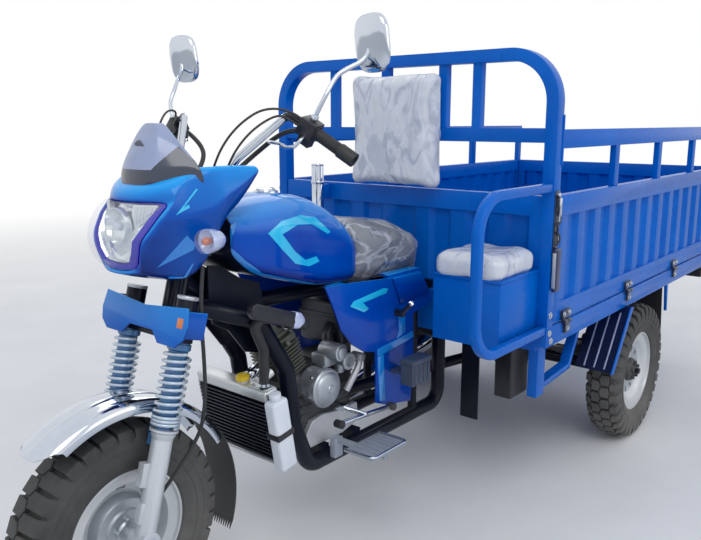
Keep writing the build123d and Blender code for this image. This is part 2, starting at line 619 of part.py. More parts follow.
port = barrel_plane.from_local_coords(Vector(-20, -barrel_depth / 2, 60))
port_out = barrel_plane.from_local_coords(Vector(-20, -barrel_depth / 2 - 52, 60))
exhaust = bent_tube([tuple(port), tuple(port_out), (-168, port_out.Y, 470), (-192, bed_y(-640), 300),
                     (-196, bed_y(-100), 262)], 17, 28)
exhaust += cylinder_along((-196, bed_y(-110), 262), (-250, bed_y(560), 330), 46)
exhaust += block(-230, -200, bed_y(124), bed_y(144), 300, chassis_rail_z0 + 6)
save("exhaust", exhaust)

radiator_half = 152
radiator_lean = 10
radiator_pivot = Pos(0, bed_y(-795), 575)
radiator_y0 = bed_y(-815)
radiator_y1 = bed_y(-775)


def lean_back(shape):
    return radiator_pivot * Rot(radiator_lean, 0, 0) * radiator_pivot.inverse() * shape


radiator = block(-radiator_half + 6, radiator_half - 6, radiator_y0, radiator_y1, 350, 540)
radiator += block(-radiator_half, radiator_half, radiator_y0 - 5, radiator_y1 + 5, 540, 575)
radiator += block(-radiator_half, radiator_half, radiator_y0 - 3, radiator_y1 + 3, 338, 350)
radiator = lean_back(radiator)
for side in (1, -1):
    radiator += block(side * 86, side * 110, bed_y(-758), bed_y(-676), 430, 446)
radiator -= main_frame
save("radiator", radiator)

bottle = block(168, 212, bed_y(-850), bed_y(-788), 348, 580)
bottle = fillet(bottle.edges(), 8)
bottle += block(radiator_half - 1, 172, bed_y(-812), bed_y(-800), 545, 565)
bottle = lean_back(bottle) - radiator
save("coolant_bottle", bottle.solids().sort_by(SortBy.VOLUME)[-1])

hose = bent_tube([(130, bed_y(-800), 575), (130, bed_y(-800), 690), (134, bed_y(-850), 790),
                  (150, bed_y(-760), 775), (150, bed_y(-640), 730), (30, bed_y(-640), 715)], 15, 24)
hose = hose - main_frame - radiator
save("coolant_hose", hose.solids().sort_by(SortBy.VOLUME)[-1])


# fuel tank, rider's seat and side panels
def tank_section(y, half, z0, z1):
    """A section with well rounded shoulders and a tight lower edge."""
    section = Pos(0, (z0 + z1) / 2) * Rectangle(2 * half, z1 - z0)
    corners = section.vertices().group_by(Axis.Y)
    section = fillet(corners[-1], min(half, z1 - z0) * 0.62)
    section = fillet(section.vertices().group_by(Axis.Y)[0], 16)
    return Plane.XZ.offset(-y) * section


tank_sizes = [(-902, 122, 974, 1076), (-880, 133, 946, 1087), (-815, 146, 901, 1103), (-700, 154, 866, 1115),
              (-600, 153, 836, 1106), (-520, 150, 825, 1082), (-450, 145, 820, 1040), (-400, 134, 822, 996),
              (-362, 112, 830, 956)]
tank = loft([tank_section(bed_y(offset), half, z0, z1) for offset, half, z0, z1 in tank_sizes])
tank += block(-40, 40, bed_y(-640), bed_y(-560), 770, 850)
tank -= main_frame
tank -= in_steering(Pos(0, 0, 690) * Cylinder(steering_sweep, 200, align=from_bottom))
save("fuel_tank", tank.solids().sort_by(SortBy.VOLUME)[-1])

seat = side_profile([(bed_y(-508), 990), (bed_y(-430), 1000), (bed_y(-347), 1003), (bed_y(-174), 975),
                     (bed_y(-88), 942), (bed_y(-52), 905), (bed_y(-62), 811), (bed_y(-170), 803),
                     (bed_y(-345), 808), (bed_y(-418), 826), (bed_y(-472), 900)], -142, 142)
seat = fillet(seat.edges().filter_by(Axis.X), 10)
seat += block(-60, 60, bed_y(-330), bed_y(-90), 795, 812)
seat -= tank
seat -= main_frame
save("rider_seat", seat.solids().sort_by(SortBy.VOLUME)[-1])

panel_outline = [(-609, 842), (-496, 837), (-305, 820), (-124, 816), (-46, 701), (-162, 677), (-159, 560),
                 (-171, 367), (-310, 393), (-365, 416), (-366, 589), (-430, 606), (-486, 641), (-540, 700),
                 (-574, 775)]
panel = side_profile([(bed_y(offset), z) for offset, z in panel_outline], 186, 192)
panel += block(130, 187, bed_y(-290), bed_y(-120), 822, 828)
panel += block(168, 187, bed_y(-300), bed_y(-120), 798, 828)
panel += block(130, 187, bed_y(-560), bed_y(-500), 829, 835)
panel_left = panel - seat - tank - main_frame
save("side_panels", *both_sides(panel_left.solids().sort_by(SortBy.VOLUME)[-1]))

# footrests, foot controls and battery box
rest_arm_z = 322
rest = block(228, 344, bed_y(-574), bed_y(-400), 331, 339)
rest += cylinder_along((126, bed_y(-500), rest_arm_z), (336, bed_y(-500), rest_arm_z), 11)
rest += block(124, 150, bed_y(-520), bed_y(-480), 262, 330)
rest = rest - main_frame - engine
rest_left = rest.solids().sort_by(SortBy.VOLUME)[-1]
save("footrests", *both_sides(rest_left))

shift = cylinder_along((146, bed_y(-470), 420), (236, bed_y(-470), 420), 8)
shift += cylinder_along((226, bed_y(-590), 426), (226, bed_y(-330), 404), 8)
shift += block(78, 150, bed_y(-480), bed_y(-460), 410, 430)
brake = cylinder_along((-130, bed_y(-440), 350), (-222, bed_y(-440), 350), 8)
brake += cylinder_along((-214, bed_y(-440), 350), (-226, bed_y(-640), 400), 8)
brake += block(-150, -124, bed_y(-460), bed_y(-420), 262, 360)
lever_base = cylinder_along((192, bed_y(-262), 700), (222, bed_y(-262), 700), 12)
lever = lever_base + cylinder_along((214, bed_y(-262), 700), (300, bed_y(-330), 760), 8)
save("foot_controls", (shift - engine).solids().sort_by(SortBy.VOLUME)[-1],
     (brake - main_frame - engine).solids().sort_by(SortBy.VOLUME)[-1], lever)
battery = block(250, 304, bed_y(-318), bed_y(-214), 478, 566)
battery += block(187, 251, bed_y(-290), bed_y(-240), 500, 512) - panel_left
save("battery_box", battery.solids().sort_by(SortBy.VOLUME)[-1])
air_box = fillet(block(-92, 92, bed_y(-425), bed_y(-205), 596, 745).edges(), 12)
save("air_box", air_box + block(-12, 12, bed_y(-330), bed_y(-300), 744, 760) - main_frame - engine)
tool_box = fillet(block(276, 352, bed_y(262), bed_y(402), 276, 500).edges(), 8)
save("tool_box", tool_box + block(300, 370, bed_y(300), bed_y(360), 499, chassis_rail_z0 + 1) - main_frame)

# rear axle with the propeller shaft, leaf springs and rear fenders
axle = cylinder_along((-470, rear_axle_y, axle_height), (470, rear_axle_y, axle_height), 36)
axle += cylinder_along((-rear_wheel_x - 60, rear_axle_y, axle_height), (rear_wheel_x + 60, rear_axle_y, axle_height),
                       axle_radius)
axle += Pos(0, rear_axle_y, axle_height) * Sphere(100)
axle += cylinder_along((0, rear_axle_y - 80, axle_height), (0, rear_axle_y - 190, axle_height + 6), 34)
axle += cylinder_along((0, rear_axle_y - 180, axle_height + 6), (0, bed_y(-327), 400), 22)
save("rear_axle", axle)

leaf_half = 450
leaf_half_width = 28
upper = [(450, 464), (225, 402), (80, 372)]
lower = [(80, 321), (80, 352), (225, 386), (450, 452)]
leaf_outline = [(rear_axle_y - reach, z) for reach, z in upper]
leaf_outline += [(rear_axle_y + reach, z) for reach, z in reversed(upper)]
leaf_outline += [(rear_axle_y + reach, z) for reach, z in reversed(lower)]
leaf_outline += [(rear_axle_y - reach, z) for reach, z in lower]
leaf = side_profile(leaf_outline, chassis_rail_x - leaf_half_width, chassis_rail_x + leaf_half_width)
for end in (-1, 1):
    y = rear_axle_y + end * (leaf_half - 8)
    leaf += block(chassis_rail_x - leaf_half_width - 5, chassis_rail_x + leaf_half_width + 5, y - 18, y + 18, 446,
                  chassis_rail_z0)
save("leaf_springs", *both_sides(leaf))

fender_outer_x = 626
fender = side_profile([(bed_y(566), 360), (bed_y(736), floor_rail_z0), (bed_y(740), floor_rail_z0),
                       (bed_y(570), 358)], 470, fender_outer_x)
fender += side_profile([(bed_y(540), 362), (bed_y(710), floor_rail_z0), (bed_y(740), floor_rail_z0),
                        (bed_y(570), 360)], fender_outer_x - 4, fender_outer_x)
rear_stay = side_profile([(bed_y(1236), floor_rail_z0), (bed_y(1262), 470), (bed_y(1268), 470),
                          (bed_y(1256), floor_rail_z0)], 588, 600)
save("rear_fenders", *both_sides(fender), *both_sides(rear_stay))
rear_flap = side_profile([(bed_y(1214), floor_rail_z0), (bed_y(1252), 330), (bed_y(1256), 330),
                          (bed_y(1219), floor_rail_z0)], 470, 587)
rear_flap += block(520, 562, bed_y(1214), bed_y(1264), chassis_rail_z1, floor_rail_z0)
save("rear_mud_flaps", *both_sides(rear_flap - bed_frame))

# tail lights and the bracket for a number plate, both under the rear cross member
light_y1 = bed_rear_y - 12
light = block(400, 540, light_y1 - 28, light_y1, 492, 552)
light += block(458, 482, light_y1 - 22, light_y1 - 8, 552, chassis_rail_z1)
save("tail_lights", *both_sides(light))

plate_hole_x = 80
plate_hole_radius = 3.5
plate_hole_z = 530
plate_y1 = bed_rear_y - 14
plate_bracket = block(-110, 110, plate_y1 - 4, plate_y1, 500, chassis_rail_z1)
for side in (1, -1):
    hole = (side * plate_hole_x, plate_y1 - 10, plate_hole_z)
    plate_bracket -= cylinder_along(hole, (hole[0], plate_y1 + 10, plate_hole_z), plate_hole_radius)
save("plate_bracket", plate_bracket)
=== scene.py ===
import json
import math

import bpy
from mathutils import Matrix, Vector, noise


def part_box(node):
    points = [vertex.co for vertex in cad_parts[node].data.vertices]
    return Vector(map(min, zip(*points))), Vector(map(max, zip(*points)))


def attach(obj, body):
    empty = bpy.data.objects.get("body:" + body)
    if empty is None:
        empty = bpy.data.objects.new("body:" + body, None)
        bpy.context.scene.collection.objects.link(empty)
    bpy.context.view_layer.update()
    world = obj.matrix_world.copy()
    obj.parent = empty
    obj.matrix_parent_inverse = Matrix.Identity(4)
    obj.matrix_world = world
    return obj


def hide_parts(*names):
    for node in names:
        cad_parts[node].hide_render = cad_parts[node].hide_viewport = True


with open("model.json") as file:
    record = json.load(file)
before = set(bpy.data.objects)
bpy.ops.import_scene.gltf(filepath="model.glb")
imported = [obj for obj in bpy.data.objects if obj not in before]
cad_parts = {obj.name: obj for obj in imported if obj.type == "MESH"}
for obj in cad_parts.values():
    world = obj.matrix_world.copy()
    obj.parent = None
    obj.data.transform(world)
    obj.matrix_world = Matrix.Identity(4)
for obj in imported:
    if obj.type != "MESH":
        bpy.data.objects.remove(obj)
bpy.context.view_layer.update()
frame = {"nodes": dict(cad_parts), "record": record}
nodes = frame["nodes"]
scene = bpy.context.scene
scene.view_settings.view_transform = "Standard"

sides = (("left", 1), ("right", -1))
viewSettings = {"place": (1.583, -2.471, 1.314), "turn": 39.74, "down": 11.34, "lens": 38.0}
bpy.ops.object.camera_add(location=viewSettings["place"])
camera = bpy.context.object
camera.rotation_euler = (math.radians(90 - viewSettings["down"]), 0, math.radians(viewSettings["turn"]))
camera.data.lens = viewSettings["lens"]
camera.data.sensor_width = 36
camera.data.clip_start = 0.05
scene.camera = camera


# tools for editing and finishing a piece


def deselect():
    bpy.ops.object.select_all(action="DESELECT")


def makeActive(obj):
    deselect()
    obj.select_set(True)
    bpy.context.view_layer.objects.active = obj


def startEdit(obj, kind="FACE"):
    makeActive(obj)
    bpy.ops.object.mode_set(mode="EDIT")
    bpy.ops.mesh.select_mode(type=kind)
    bpy.ops.mesh.select_all(action="SELECT")


def endEdit():
    bpy.ops.object.mode_set(mode="OBJECT")


def pick(obj, test):  # selects the faces whose centre and normal pass the test
    bpy.ops.mesh.select_all(action="DESELECT")
    endEdit()
    for face in obj.data.polygons:
        face.select = test(face.center, face.normal)
    bpy.ops.object.mode_set(mode="EDIT")


def faceOutwards():
    bpy.ops.mesh.select_all(action="SELECT")
    bpy.ops.mesh.normals_make_consistent(inside=False)


def extrudeFaces(move):
    bpy.ops.mesh.extrude_region_move(TRANSFORM_OT_translate={"value": move})


def settle(obj):
    makeActive(obj)
    bpy.ops.object.transform_apply(location=True, rotation=True, scale=True)


def addModifier(obj, kind, **settings):
    makeActive(obj)
    modifier = obj.modifiers.new(kind.lower(), kind)
    for key, value in settings.items():
        setattr(modifier, key, value)
    bpy.ops.object.modifier_apply(modifier=modifier.name)


def roundEdges(obj, width, segments=2, angle=38):
    addModifier(obj, "BEVEL", width=width, segments=segments, limit_method="ANGLE",
        angle_limit=math.radians(angle), harden_normals=False)


def shade(obj, angle=35):
    makeActive(obj)
    bpy.ops.object.shade_smooth_by_angle(angle=math.radians(angle))


def joinAll(parts, name):
    deselect()
    for part in parts:
        part.select_set(True)
    bpy.context.view_layer.objects.active = parts[0]
    if len(parts) > 1:
        bpy.ops.object.join()
    obj = bpy.context.object
    obj.name = name
    return obj


def copyOf(obj, name, matrix=None):
    made = obj.copy()
    made.data = obj.data.copy()
    made.name = name
    scene.collection.objects.link(made)
    if matrix is not None:
        made.data.transform(matrix)
        if matrix.determinant() < 0:
            made.data.flip_normals()
    return made


def mirrorCopy(obj, name):
    return copyOf(obj, name, Matrix.Scale(-1, 4, (1, 0, 0)))


def finishPiece(obj, body, look=None, slotName=None, replaces=(), angle=35):
    settle(obj)
    shade(obj, angle)
    if look is not None:
        obj.data.materials.clear()
        obj.data.materials.append(paints[look])
    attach(obj, body)
    if replaces:
        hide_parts(*replaces)
    return obj


def finishParts(parts, name, *settings, **others):
    return finishPiece(joinAll(parts, name), *settings, **others)


def softCopy(nodeName, name, width, segments=2, angle=38):
    obj = copyOf(nodes[nodeName], name)
    obj.parent = None
    obj.matrix_world = Matrix.Identity(4)
    startEdit(obj, "VERT")
    bpy.ops.mesh.remove_doubles(threshold=0.00002)
    bpy.ops.mesh.dissolve_limited(angle_limit=math.radians(2))
    endEdit()
    if width:
        roundEdges(obj, width, segments, angle)
    return obj


# materials


def put(tree, kind, inputs=None, **settings):
    made = tree.nodes.new("ShaderNode" + kind)
    for key, value in settings.items():
        setattr(made, key, value)
    for key, value in (inputs or {}).items():
        made.inputs[key].default_value = value
    return made


def setRamp(ramp, stops):
    elements = ramp.color_ramp.elements
    while len(elements) < len(stops):
        elements.new(0.5)
    for element, (position, colour) in zip(elements, stops):
        element.position = position
        element.color = (*colour, 1)


def startMaterial(name):
    material = bpy.data.materials.new(name)
    material.use_nodes = True
    tree = material.node_tree
    return material, tree, tree.nodes["Principled BSDF"]


def surface(name, look):
    material, tree, shader = startMaterial(name)
    link = tree.links.new
    place = put(tree, "TexCoord").outputs["Object"]
    if "stretch" in look:
        mapping = put(tree, "Mapping", {"Scale": look["stretch"]})
        link(place, mapping.inputs["Vector"])
        place = mapping.outputs["Vector"]
    patches = put(tree, "TexNoise", {"Scale": look.get("patchScale", 4.0), "Detail": 5.0, "Roughness": 0.6})
    link(place, patches.inputs["Vector"])
    tint = put(tree, "ValToRGB")
    setRamp(tint, [(0.34, look["dark"]), (0.66, look["light"])])
    link(patches.outputs["Fac"], tint.inputs["Fac"])
    colour = tint.outputs["Color"]
    if "dust" in look:
        split = put(tree, "SeparateXYZ")
        link(put(tree, "TexCoord").outputs["Object"], split.inputs["Vector"])
        low = put(tree, "MapRange",
            {"From Min": look.get("dustTop", 0.5), "From Max": 0.0, "To Max": look["dust"]})
        link(split.outputs["Z"], low.inputs["Value"])
        amount = put(tree, "Math", operation="MULTIPLY")
        link(low.outputs["Result"], amount.inputs[0])
        link(patches.outputs["Fac"], amount.inputs[1])
        dusty = put(tree, "Mix", data_type="RGBA")
        dusty.inputs[7].default_value = (0.42, 0.4, 0.37, 1)
        link(amount.outputs[0], dusty.inputs[0])
        link(colour, dusty.inputs[6])
        colour = dusty.outputs[2]
    # painted light: faces turned up are mixed towards a painted sky reflection colour, faces turned down
    # towards a painted shade colour
    for key, nearest, furthest in (("up", 0.05, 0.8), ("down", -0.02, -0.5)):
        if key in look:
            split = put(tree, "SeparateXYZ")
            link(put(tree, "TexCoord").outputs["Normal"], split.inputs["Vector"])
            facing = put(tree, "MapRange", {"From Min": nearest, "From Max": furthest})
            link(split.outputs["Z"], facing.inputs["Value"])
            paintedLightMix = put(tree, "Mix", data_type="RGBA")
            paintedLightMix.inputs[7].default_value = (*look[key], 1)
            link(facing.outputs["Result"], paintedLightMix.inputs[0])
            link(colour, paintedLightMix.inputs[6])
            colour = paintedLightMix.outputs[2]
    link(colour, shader.inputs["Base Color"])
    grain = put(tree, "TexNoise", {"Scale": look.get("grainScale", 300.0), "Detail": 3.0, "Roughness": 0.55})
    link(place, grain.inputs["Vector"])
    rough = put(tree, "MapRange", {"To Min": look["rough"][0], "To Max": look["rough"][1]})
    link(patches.outputs["Fac"], rough.inputs["Value"])
    link(rough.outputs["Result"], shader.inputs["Roughness"])
    bump = put(tree, "Bump", {"Strength": look.get("bump", 0.1), "Distance": look.get("bumpDepth", 0.001)})
    link(grain.outputs["Fac"], bump.inputs["Height"])
    link(bump.outputs["Normal"], shader.inputs["Normal"])
    shader.inputs["Metallic"].default_value = look.get("metal", 0.0)
    shader.inputs["Specular IOR Level"].default_value = look.get("specular", 0.5)
    shader.inputs["Coat Weight"].default_value = look.get("coat", 0.0)
    shader.inputs["Coat Roughness"].default_value = look.get("coatRough", 0.05)
    shader.inputs["Transmission Weight"].default_value = look.get("clear", 0.0)
    shader.inputs["Alpha"].default_value = look.get("alpha", 1.0)
    return material


looks = {
    "bluePaint": {"dark": (0.0, 0.105, 0.5),
        "light": (0.0, 0.13, 0.58), "rough": (0.22, 0.32), "grainScale": 420.0, "bump": 0.05, "coat": 0.04,
        "coatRough": 0.05, "specular": 0.14, "dust": 0.05, "dustTop": 0.7},
    # fairing blue: its up colour is a painted sky reflection on upward faces, its down colour a painted
    # shade on downward faces
    "fairingBlue": {"dark": (0.0, 0.07, 0.43), "light": (0.0, 0.11, 0.54),
        "rough": (0.14, 0.22), "up": (0.01, 0.36, 0.9), "down": (0.0, 0.014, 0.15),
        "grainScale": 500.0, "bump": 0.02, "coat": 0.15, "coatRough": 0.03, "specular": 0.22},
    # panel blue: its up colour is a painted sky reflection on upward faces, its down colour a painted shade
    # on downward faces
    "panelBlue": {"dark": (0.0, 0.045, 0.38), "light": (0.0, 0.07, 0.46), "rough": (0.14, 0.22),
        "up": (0.005, 0.28, 0.8), "down": (0.0, 0.014, 0.18),
        "grainScale": 500.0, "bump": 0.02, "coat": 0.12, "coatRough": 0.03, "specular": 0.2},
    # tank blue: its up colour is a painted sky reflection on upward faces, its down colour a painted shade
    # on downward faces
    "tankBlue": {"dark": (0.0, 0.05, 0.4), "light": (0.0, 0.08, 0.49),
        "rough": (0.08, 0.14), "up": (0.06, 0.3, 0.8), "down": (0.0, 0.016, 0.22), "grainScale": 500.0,
        "bump": 0.012, "coat": 0.12, "coatRough": 0.02, "specular": 0.16},
    "frameBlack": {"dark": (0.002, 0.004, 0.012), "light": (0.004, 0.008, 0.02), "rough": (0.28, 0.4),
        "grainScale": 380.0, "bump": 0.08, "coat": 0.04, "specular": 0.2, "dust": 0.04, "dustTop": 0.5},
    "chrome": {"dark": (0.52, 0.57, 0.66),
        "light": (0.66, 0.7, 0.76), "rough": (0.06, 0.12), "metal": 1.0, "grainScale": 900.0, "bump": 0.01},
    "forkSilver": {"dark": (0.5, 0.54, 0.6), "light": (0.58, 0.61, 0.66),
        "rough": (0.28, 0.4), "metal": 0.35, "grainScale": 700.0, "bump": 0.05, "coat": 0.3},
    "castAlloy": {"dark": (0.34, 0.37, 0.42), "light": (0.52, 0.56, 0.61), "rough": (0.3, 0.45),
        "metal": 0.75, "grainScale": 900.0, "bump": 0.25, "bumpDepth": 0.0006, "dust": 0.3, "dustTop": 0.6},
    "rimSilver": {"dark": (0.52, 0.55, 0.58), "light": (0.66, 0.68, 0.71), "rough": (0.3, 0.42),
        "metal": 0.3, "grainScale": 600.0, "bump": 0.06, "coat": 0.25, "dust": 0.25, "dustTop": 0.55},
    "tyreRubber": {"dark": (0.012, 0.014, 0.017), "light": (0.026, 0.028, 0.032), "rough": (0.6, 0.78),
        "grainScale": 650.0, "bump": 0.3, "dust": 0.5, "dustTop": 0.62, "patchScale": 9.0},
    "blackRubber": {"dark": (0.01, 0.012, 0.015), "light": (0.022, 0.024, 0.028), "rough": (0.45, 0.62),
        "grainScale": 700.0, "bump": 0.25, "dust": 0.25, "dustTop": 0.5},
    "blackPlastic": {"dark": (0.008, 0.01, 0.016), "light": (0.018, 0.021, 0.03), "rough": (0.3, 0.42),
        "grainScale": 800.0, "bump": 0.12, "dust": 0.2, "dustTop": 0.5},
    "seatVinyl": {"dark": (0.012, 0.014, 0.02),
        "light": (0.022, 0.025, 0.034), "rough": (0.35, 0.5), "grainScale": 520.0, "bump": 0.35},
    "bottlePlastic": {"dark": (0.66, 0.71, 0.8),
        "light": (0.76, 0.8, 0.86), "rough": (0.3, 0.4), "grainScale": 500.0, "bump": 0.06},
    "springSteel": {"dark": (0.4, 0.5, 0.62), "light": (0.56, 0.64, 0.74),
        "rough": (0.22, 0.34), "metal": 0.4, "grainScale": 700.0, "bump": 0.05, "coat": 0.3},
    "radiatorAlloy": {"dark": (0.55, 0.58, 0.6),
        "light": (0.68, 0.7, 0.72), "rough": (0.3, 0.45), "metal": 0.6, "grainScale": 800.0, "bump": 0.12},
    "leafSteel": {"dark": (0.012, 0.014, 0.02), "light": (0.03, 0.033, 0.04),
        "rough": (0.42, 0.6), "metal": 0.2, "grainScale": 500.0, "bump": 0.2, "dust": 0.35, "dustTop": 0.6},
    "redLens": {"dark": (0.45, 0.008, 0.006), "light": (0.62, 0.015, 0.01),
        "rough": (0.08, 0.14), "clear": 0.2, "grainScale": 200.0, "bump": 0.02, "coat": 0.5},
    "clearLens": {"dark": (0.8, 0.87, 0.93), "light": (0.88, 0.93, 0.97),
        "rough": (0.05, 0.1), "clear": 0.6, "grainScale": 150.0, "bump": 0.02, "coat": 0.5},
    "smokedScreen": {"dark": (0.012, 0.02, 0.045),
        "light": (0.02, 0.034, 0.07), "rough": (0.06, 0.12), "grainScale": 150.0, "bump": 0.01, "coat": 0.6},
    "sleeveBlue": {"dark": (0.035, 0.13, 0.32), "light": (0.06, 0.19, 0.4),
        "rough": (0.22, 0.32), "metal": 0.3, "grainScale": 600.0, "bump": 0.03, "coat": 0.4},
    "amberLens": {"dark": (0.7, 0.16, 0.02), "light": (0.85, 0.24, 0.04), "rough": (0.1, 0.18),
        "clear": 0.15, "grainScale": 220.0, "bump": 0.1, "coat": 0.5},
    "clearShell": {"dark": (0.62, 0.64, 0.95), "light": (0.8, 0.82, 0.98),
        "rough": (0.03, 0.06), "alpha": 0.13, "grainScale": 150.0, "bump": 0.01, "coat": 0.6},
    "indigoPlastic": {"dark": (0.01, 0.002, 0.36), "light": (0.02, 0.006, 0.52),
        "rough": (0.12, 0.2), "grainScale": 200.0, "bump": 0.02, "specular": 0.2},
    "reflectorSilver": {"dark": (0.66, 0.72, 0.72),
        "light": (0.86, 0.9, 0.9), "rough": (0.1, 0.2), "metal": 0.7, "grainScale": 120.0, "bump": 0.05},
    "lilacPlastic": {"dark": (0.42, 0.5, 0.76), "light": (0.62, 0.68, 0.88),
        "rough": (0.12, 0.2), "metal": 0.2, "grainScale": 200.0, "bump": 0.02, "coat": 0.6},
    "screenPale": {"dark": (0.2, 0.26, 0.44),
        "light": (0.32, 0.38, 0.58), "rough": (0.1, 0.18), "grainScale": 150.0, "bump": 0.01, "coat": 0.5},
    "wrapFilm": {"dark": (0.62, 0.67, 0.76), "light": (0.8, 0.83, 0.9), "rough": (0.18, 0.3), "clear": 0.1,
        "grainScale": 60.0, "bump": 0.5, "bumpDepth": 0.004, "coat": 0.4},
    "cyanDecal": {"dark": (0.006, 0.46, 0.82),
        "light": (0.03, 0.58, 0.9), "rough": (0.14, 0.22), "grainScale": 400.0, "bump": 0.02, "coat": 0.7},
    "skyBlue": {"dark": (0.003, 0.17, 0.62),
        "light": (0.01, 0.24, 0.72), "rough": (0.14, 0.22), "grainScale": 400.0, "bump": 0.02, "coat": 0.7},
    "caseAlloy": {"dark": (0.022, 0.026, 0.03), "light": (0.075, 0.08, 0.085), "rough": (0.42, 0.6),
        "metal": 0.6, "grainScale": 900.0, "bump": 0.3, "bumpDepth": 0.0006, "dust": 0.3, "dustTop": 0.6},
    "oliveAlloy": {"dark": (0.12, 0.13, 0.11), "light": (0.21, 0.225, 0.19),
        "rough": (0.4, 0.58), "metal": 0.6, "grainScale": 900.0, "bump": 0.3, "bumpDepth": 0.0006},
    "paleAlloy": {"dark": (0.4, 0.42, 0.46), "light": (0.56, 0.58, 0.62), "rough": (0.35, 0.5),
        "metal": 0.5, "grainScale": 900.0, "bump": 0.25, "bumpDepth": 0.0005, "dust": 0.2, "dustTop": 0.5},
    "capYellow": {"dark": (0.62, 0.42, 0.01),
        "light": (0.8, 0.58, 0.03), "rough": (0.25, 0.4), "grainScale": 500.0, "bump": 0.06},
    "slatGrey": {"dark": (0.02, 0.026, 0.04),
        "light": (0.05, 0.06, 0.085), "rough": (0.35, 0.5), "metal": 0.3, "grainScale": 600.0, "bump": 0.1},
    "restGrey": {"dark": (0.26, 0.3, 0.37),
        "light": (0.38, 0.42, 0.5), "rough": (0.35, 0.5), "grainScale": 600.0, "bump": 0.1},
    "boxGrey": {"dark": (0.03, 0.045, 0.085),
        "light": (0.055, 0.075, 0.125), "rough": (0.3, 0.45), "grainScale": 700.0, "bump": 0.12},
    "paleVinyl": {"dark": (0.4, 0.45, 0.56),
        "light": (0.6, 0.64, 0.72), "rough": (0.35, 0.5), "grainScale": 520.0, "bump": 0.3},
    "hingeSteel": {"dark": (0.01, 0.016, 0.04), "light": (0.03, 0.042, 0.085), "rough": (0.28, 0.42),
        "metal": 0.3, "grainScale": 700.0, "bump": 0.12, "coat": 0.3},
    "navyGrip": {"dark": (0.003, 0.01, 0.06), "light": (0.008, 0.022, 0.11),
        "rough": (0.25, 0.38), "grainScale": 600.0, "bump": 0.08, "coat": 0.4},
    "navyPaint": {"dark": (0.002, 0.008, 0.05), "light": (0.004, 0.016, 0.09), "rough": (0.24, 0.34),
        "grainScale": 420.0, "bump": 0.05, "coat": 0.35, "dust": 0.15, "dustTop": 0.7},}
paints = {name: surface(name, look) for name, look in looks.items()}


def filmSurface(name, look):  # thin plastic film: nearly clear, with opaque white lines along the creases that are painted highlights
    material, tree, shader = startMaterial(name)
    link = tree.links.new
    mapping = put(tree, "Mapping", {"Scale": look["stretch"], "Rotation": look["turn"]})
    link(put(tree, "TexCoord").outputs["Object"], mapping.inputs["Vector"])
    warp = put(tree, "TexNoise", {"Scale": 2.2, "Detail": 4.0, "Distortion": 1.4})
    link(mapping.outputs["Vector"], warp.inputs["Vector"])
    crease = put(tree, "Math", {1: 0.5}, operation="SUBTRACT")
    link(warp.outputs["Fac"], crease.inputs[0])
    sharp = put(tree, "Math", operation="ABSOLUTE")
    link(crease.outputs[0], sharp.inputs[0])
    # painted highlight: the film turns white and more opaque along the crease lines
    amount = put(tree, "ValToRGB")
    setRamp(amount, [(0.0, (look["white"],) * 3), (look["width"], (look["clear"],) * 3)])
    link(sharp.outputs[0], amount.inputs["Fac"])
    link(amount.outputs["Color"], shader.inputs["Alpha"])
    tint = put(tree, "ValToRGB")
    setRamp(tint, [(0.35, look["dark"]), (0.65, look["light"])])
    link(warp.outputs["Fac"], tint.inputs["Fac"])
    link(tint.outputs["Color"], shader.inputs["Base Color"])
    bump = put(tree, "Bump", {"Strength": 0.7, "Distance": 0.004})
    link(warp.outputs["Fac"], bump.inputs["Height"])
    link(bump.outputs["Normal"], shader.inputs["Normal"])
    shader.inputs["Roughness"].default_value = 0.16
    shader.inputs["Specular IOR Level"].default_value = 0.6
    return material


films = {
    "clearFilm": {"stretch": (3.0, 1.4, 4.5), "turn": (0.5, 0.3, 0.4), "white": 0.72,
        "clear": 0.34, "width": 0.045, "dark": (0.5, 0.54, 0.64), "light": (0.82, 0.85, 0.92)},
    "milkyFilm": {"stretch": (7.0, 7.0, 3.0), "turn": (0.2, 0.4, 0.1), "white": 0.97, "clear": 0.8,
        "width": 0.1, "dark": (0.5, 0.55, 0.67), "light": (0.8, 0.83, 0.9)}}
paints.update({name: filmSurface(name, look) for name, look in films.items()})
print("materials ready")

slotLooks = {
    "blue_paint": "bluePaint", "fairing_plastic": "fairingBlue", "tank_paint": "tankBlue",
    "black_paint": "frameBlack", "chrome": "chrome", "fork_silver": "forkSilver",
    "engine_alloy": "castAlloy", "rim_silver": "rimSilver", "tyre_rubber": "tyreRubber",
    "black_rubber": "blackRubber", "black_plastic": "blackPlastic", "smoked_screen": "smokedScreen",
    "lamp_glass": "clearLens", "signal_lens": "clearLens", "red_lens": "redLens",
    "seat_vinyl": "seatVinyl", "wrapped_cushion": "wrapFilm", "bottle_plastic": "bottlePlastic",
    "radiator_alloy": "radiatorAlloy", "spring_steel": "springSteel"}
slotOf = {part["node"]: part["material_slot"] for part in frame["record"]["subparts"]}
for nodeName, obj in nodes.items():
    obj.data.materials.clear()
    obj.data.materials.append(paints[slotLooks[slotOf[nodeName]]])


def drawChain(name, points):  # one vertex after another, each extruded from the last
    bpy.ops.mesh.primitive_plane_add(size=0.001, location=points[0])
    obj = bpy.context.object
    obj.name = name
    settle(obj)
    startEdit(obj, "VERT")
    bpy.ops.mesh.merge(type="CENTER")
    for before, after in zip(points, points[1:]):
        step = [b - a for a, b in zip(before, after)]
        bpy.ops.mesh.extrude_vertices_move(TRANSFORM_OT_translate={"value": step})
    endEdit()
    return obj


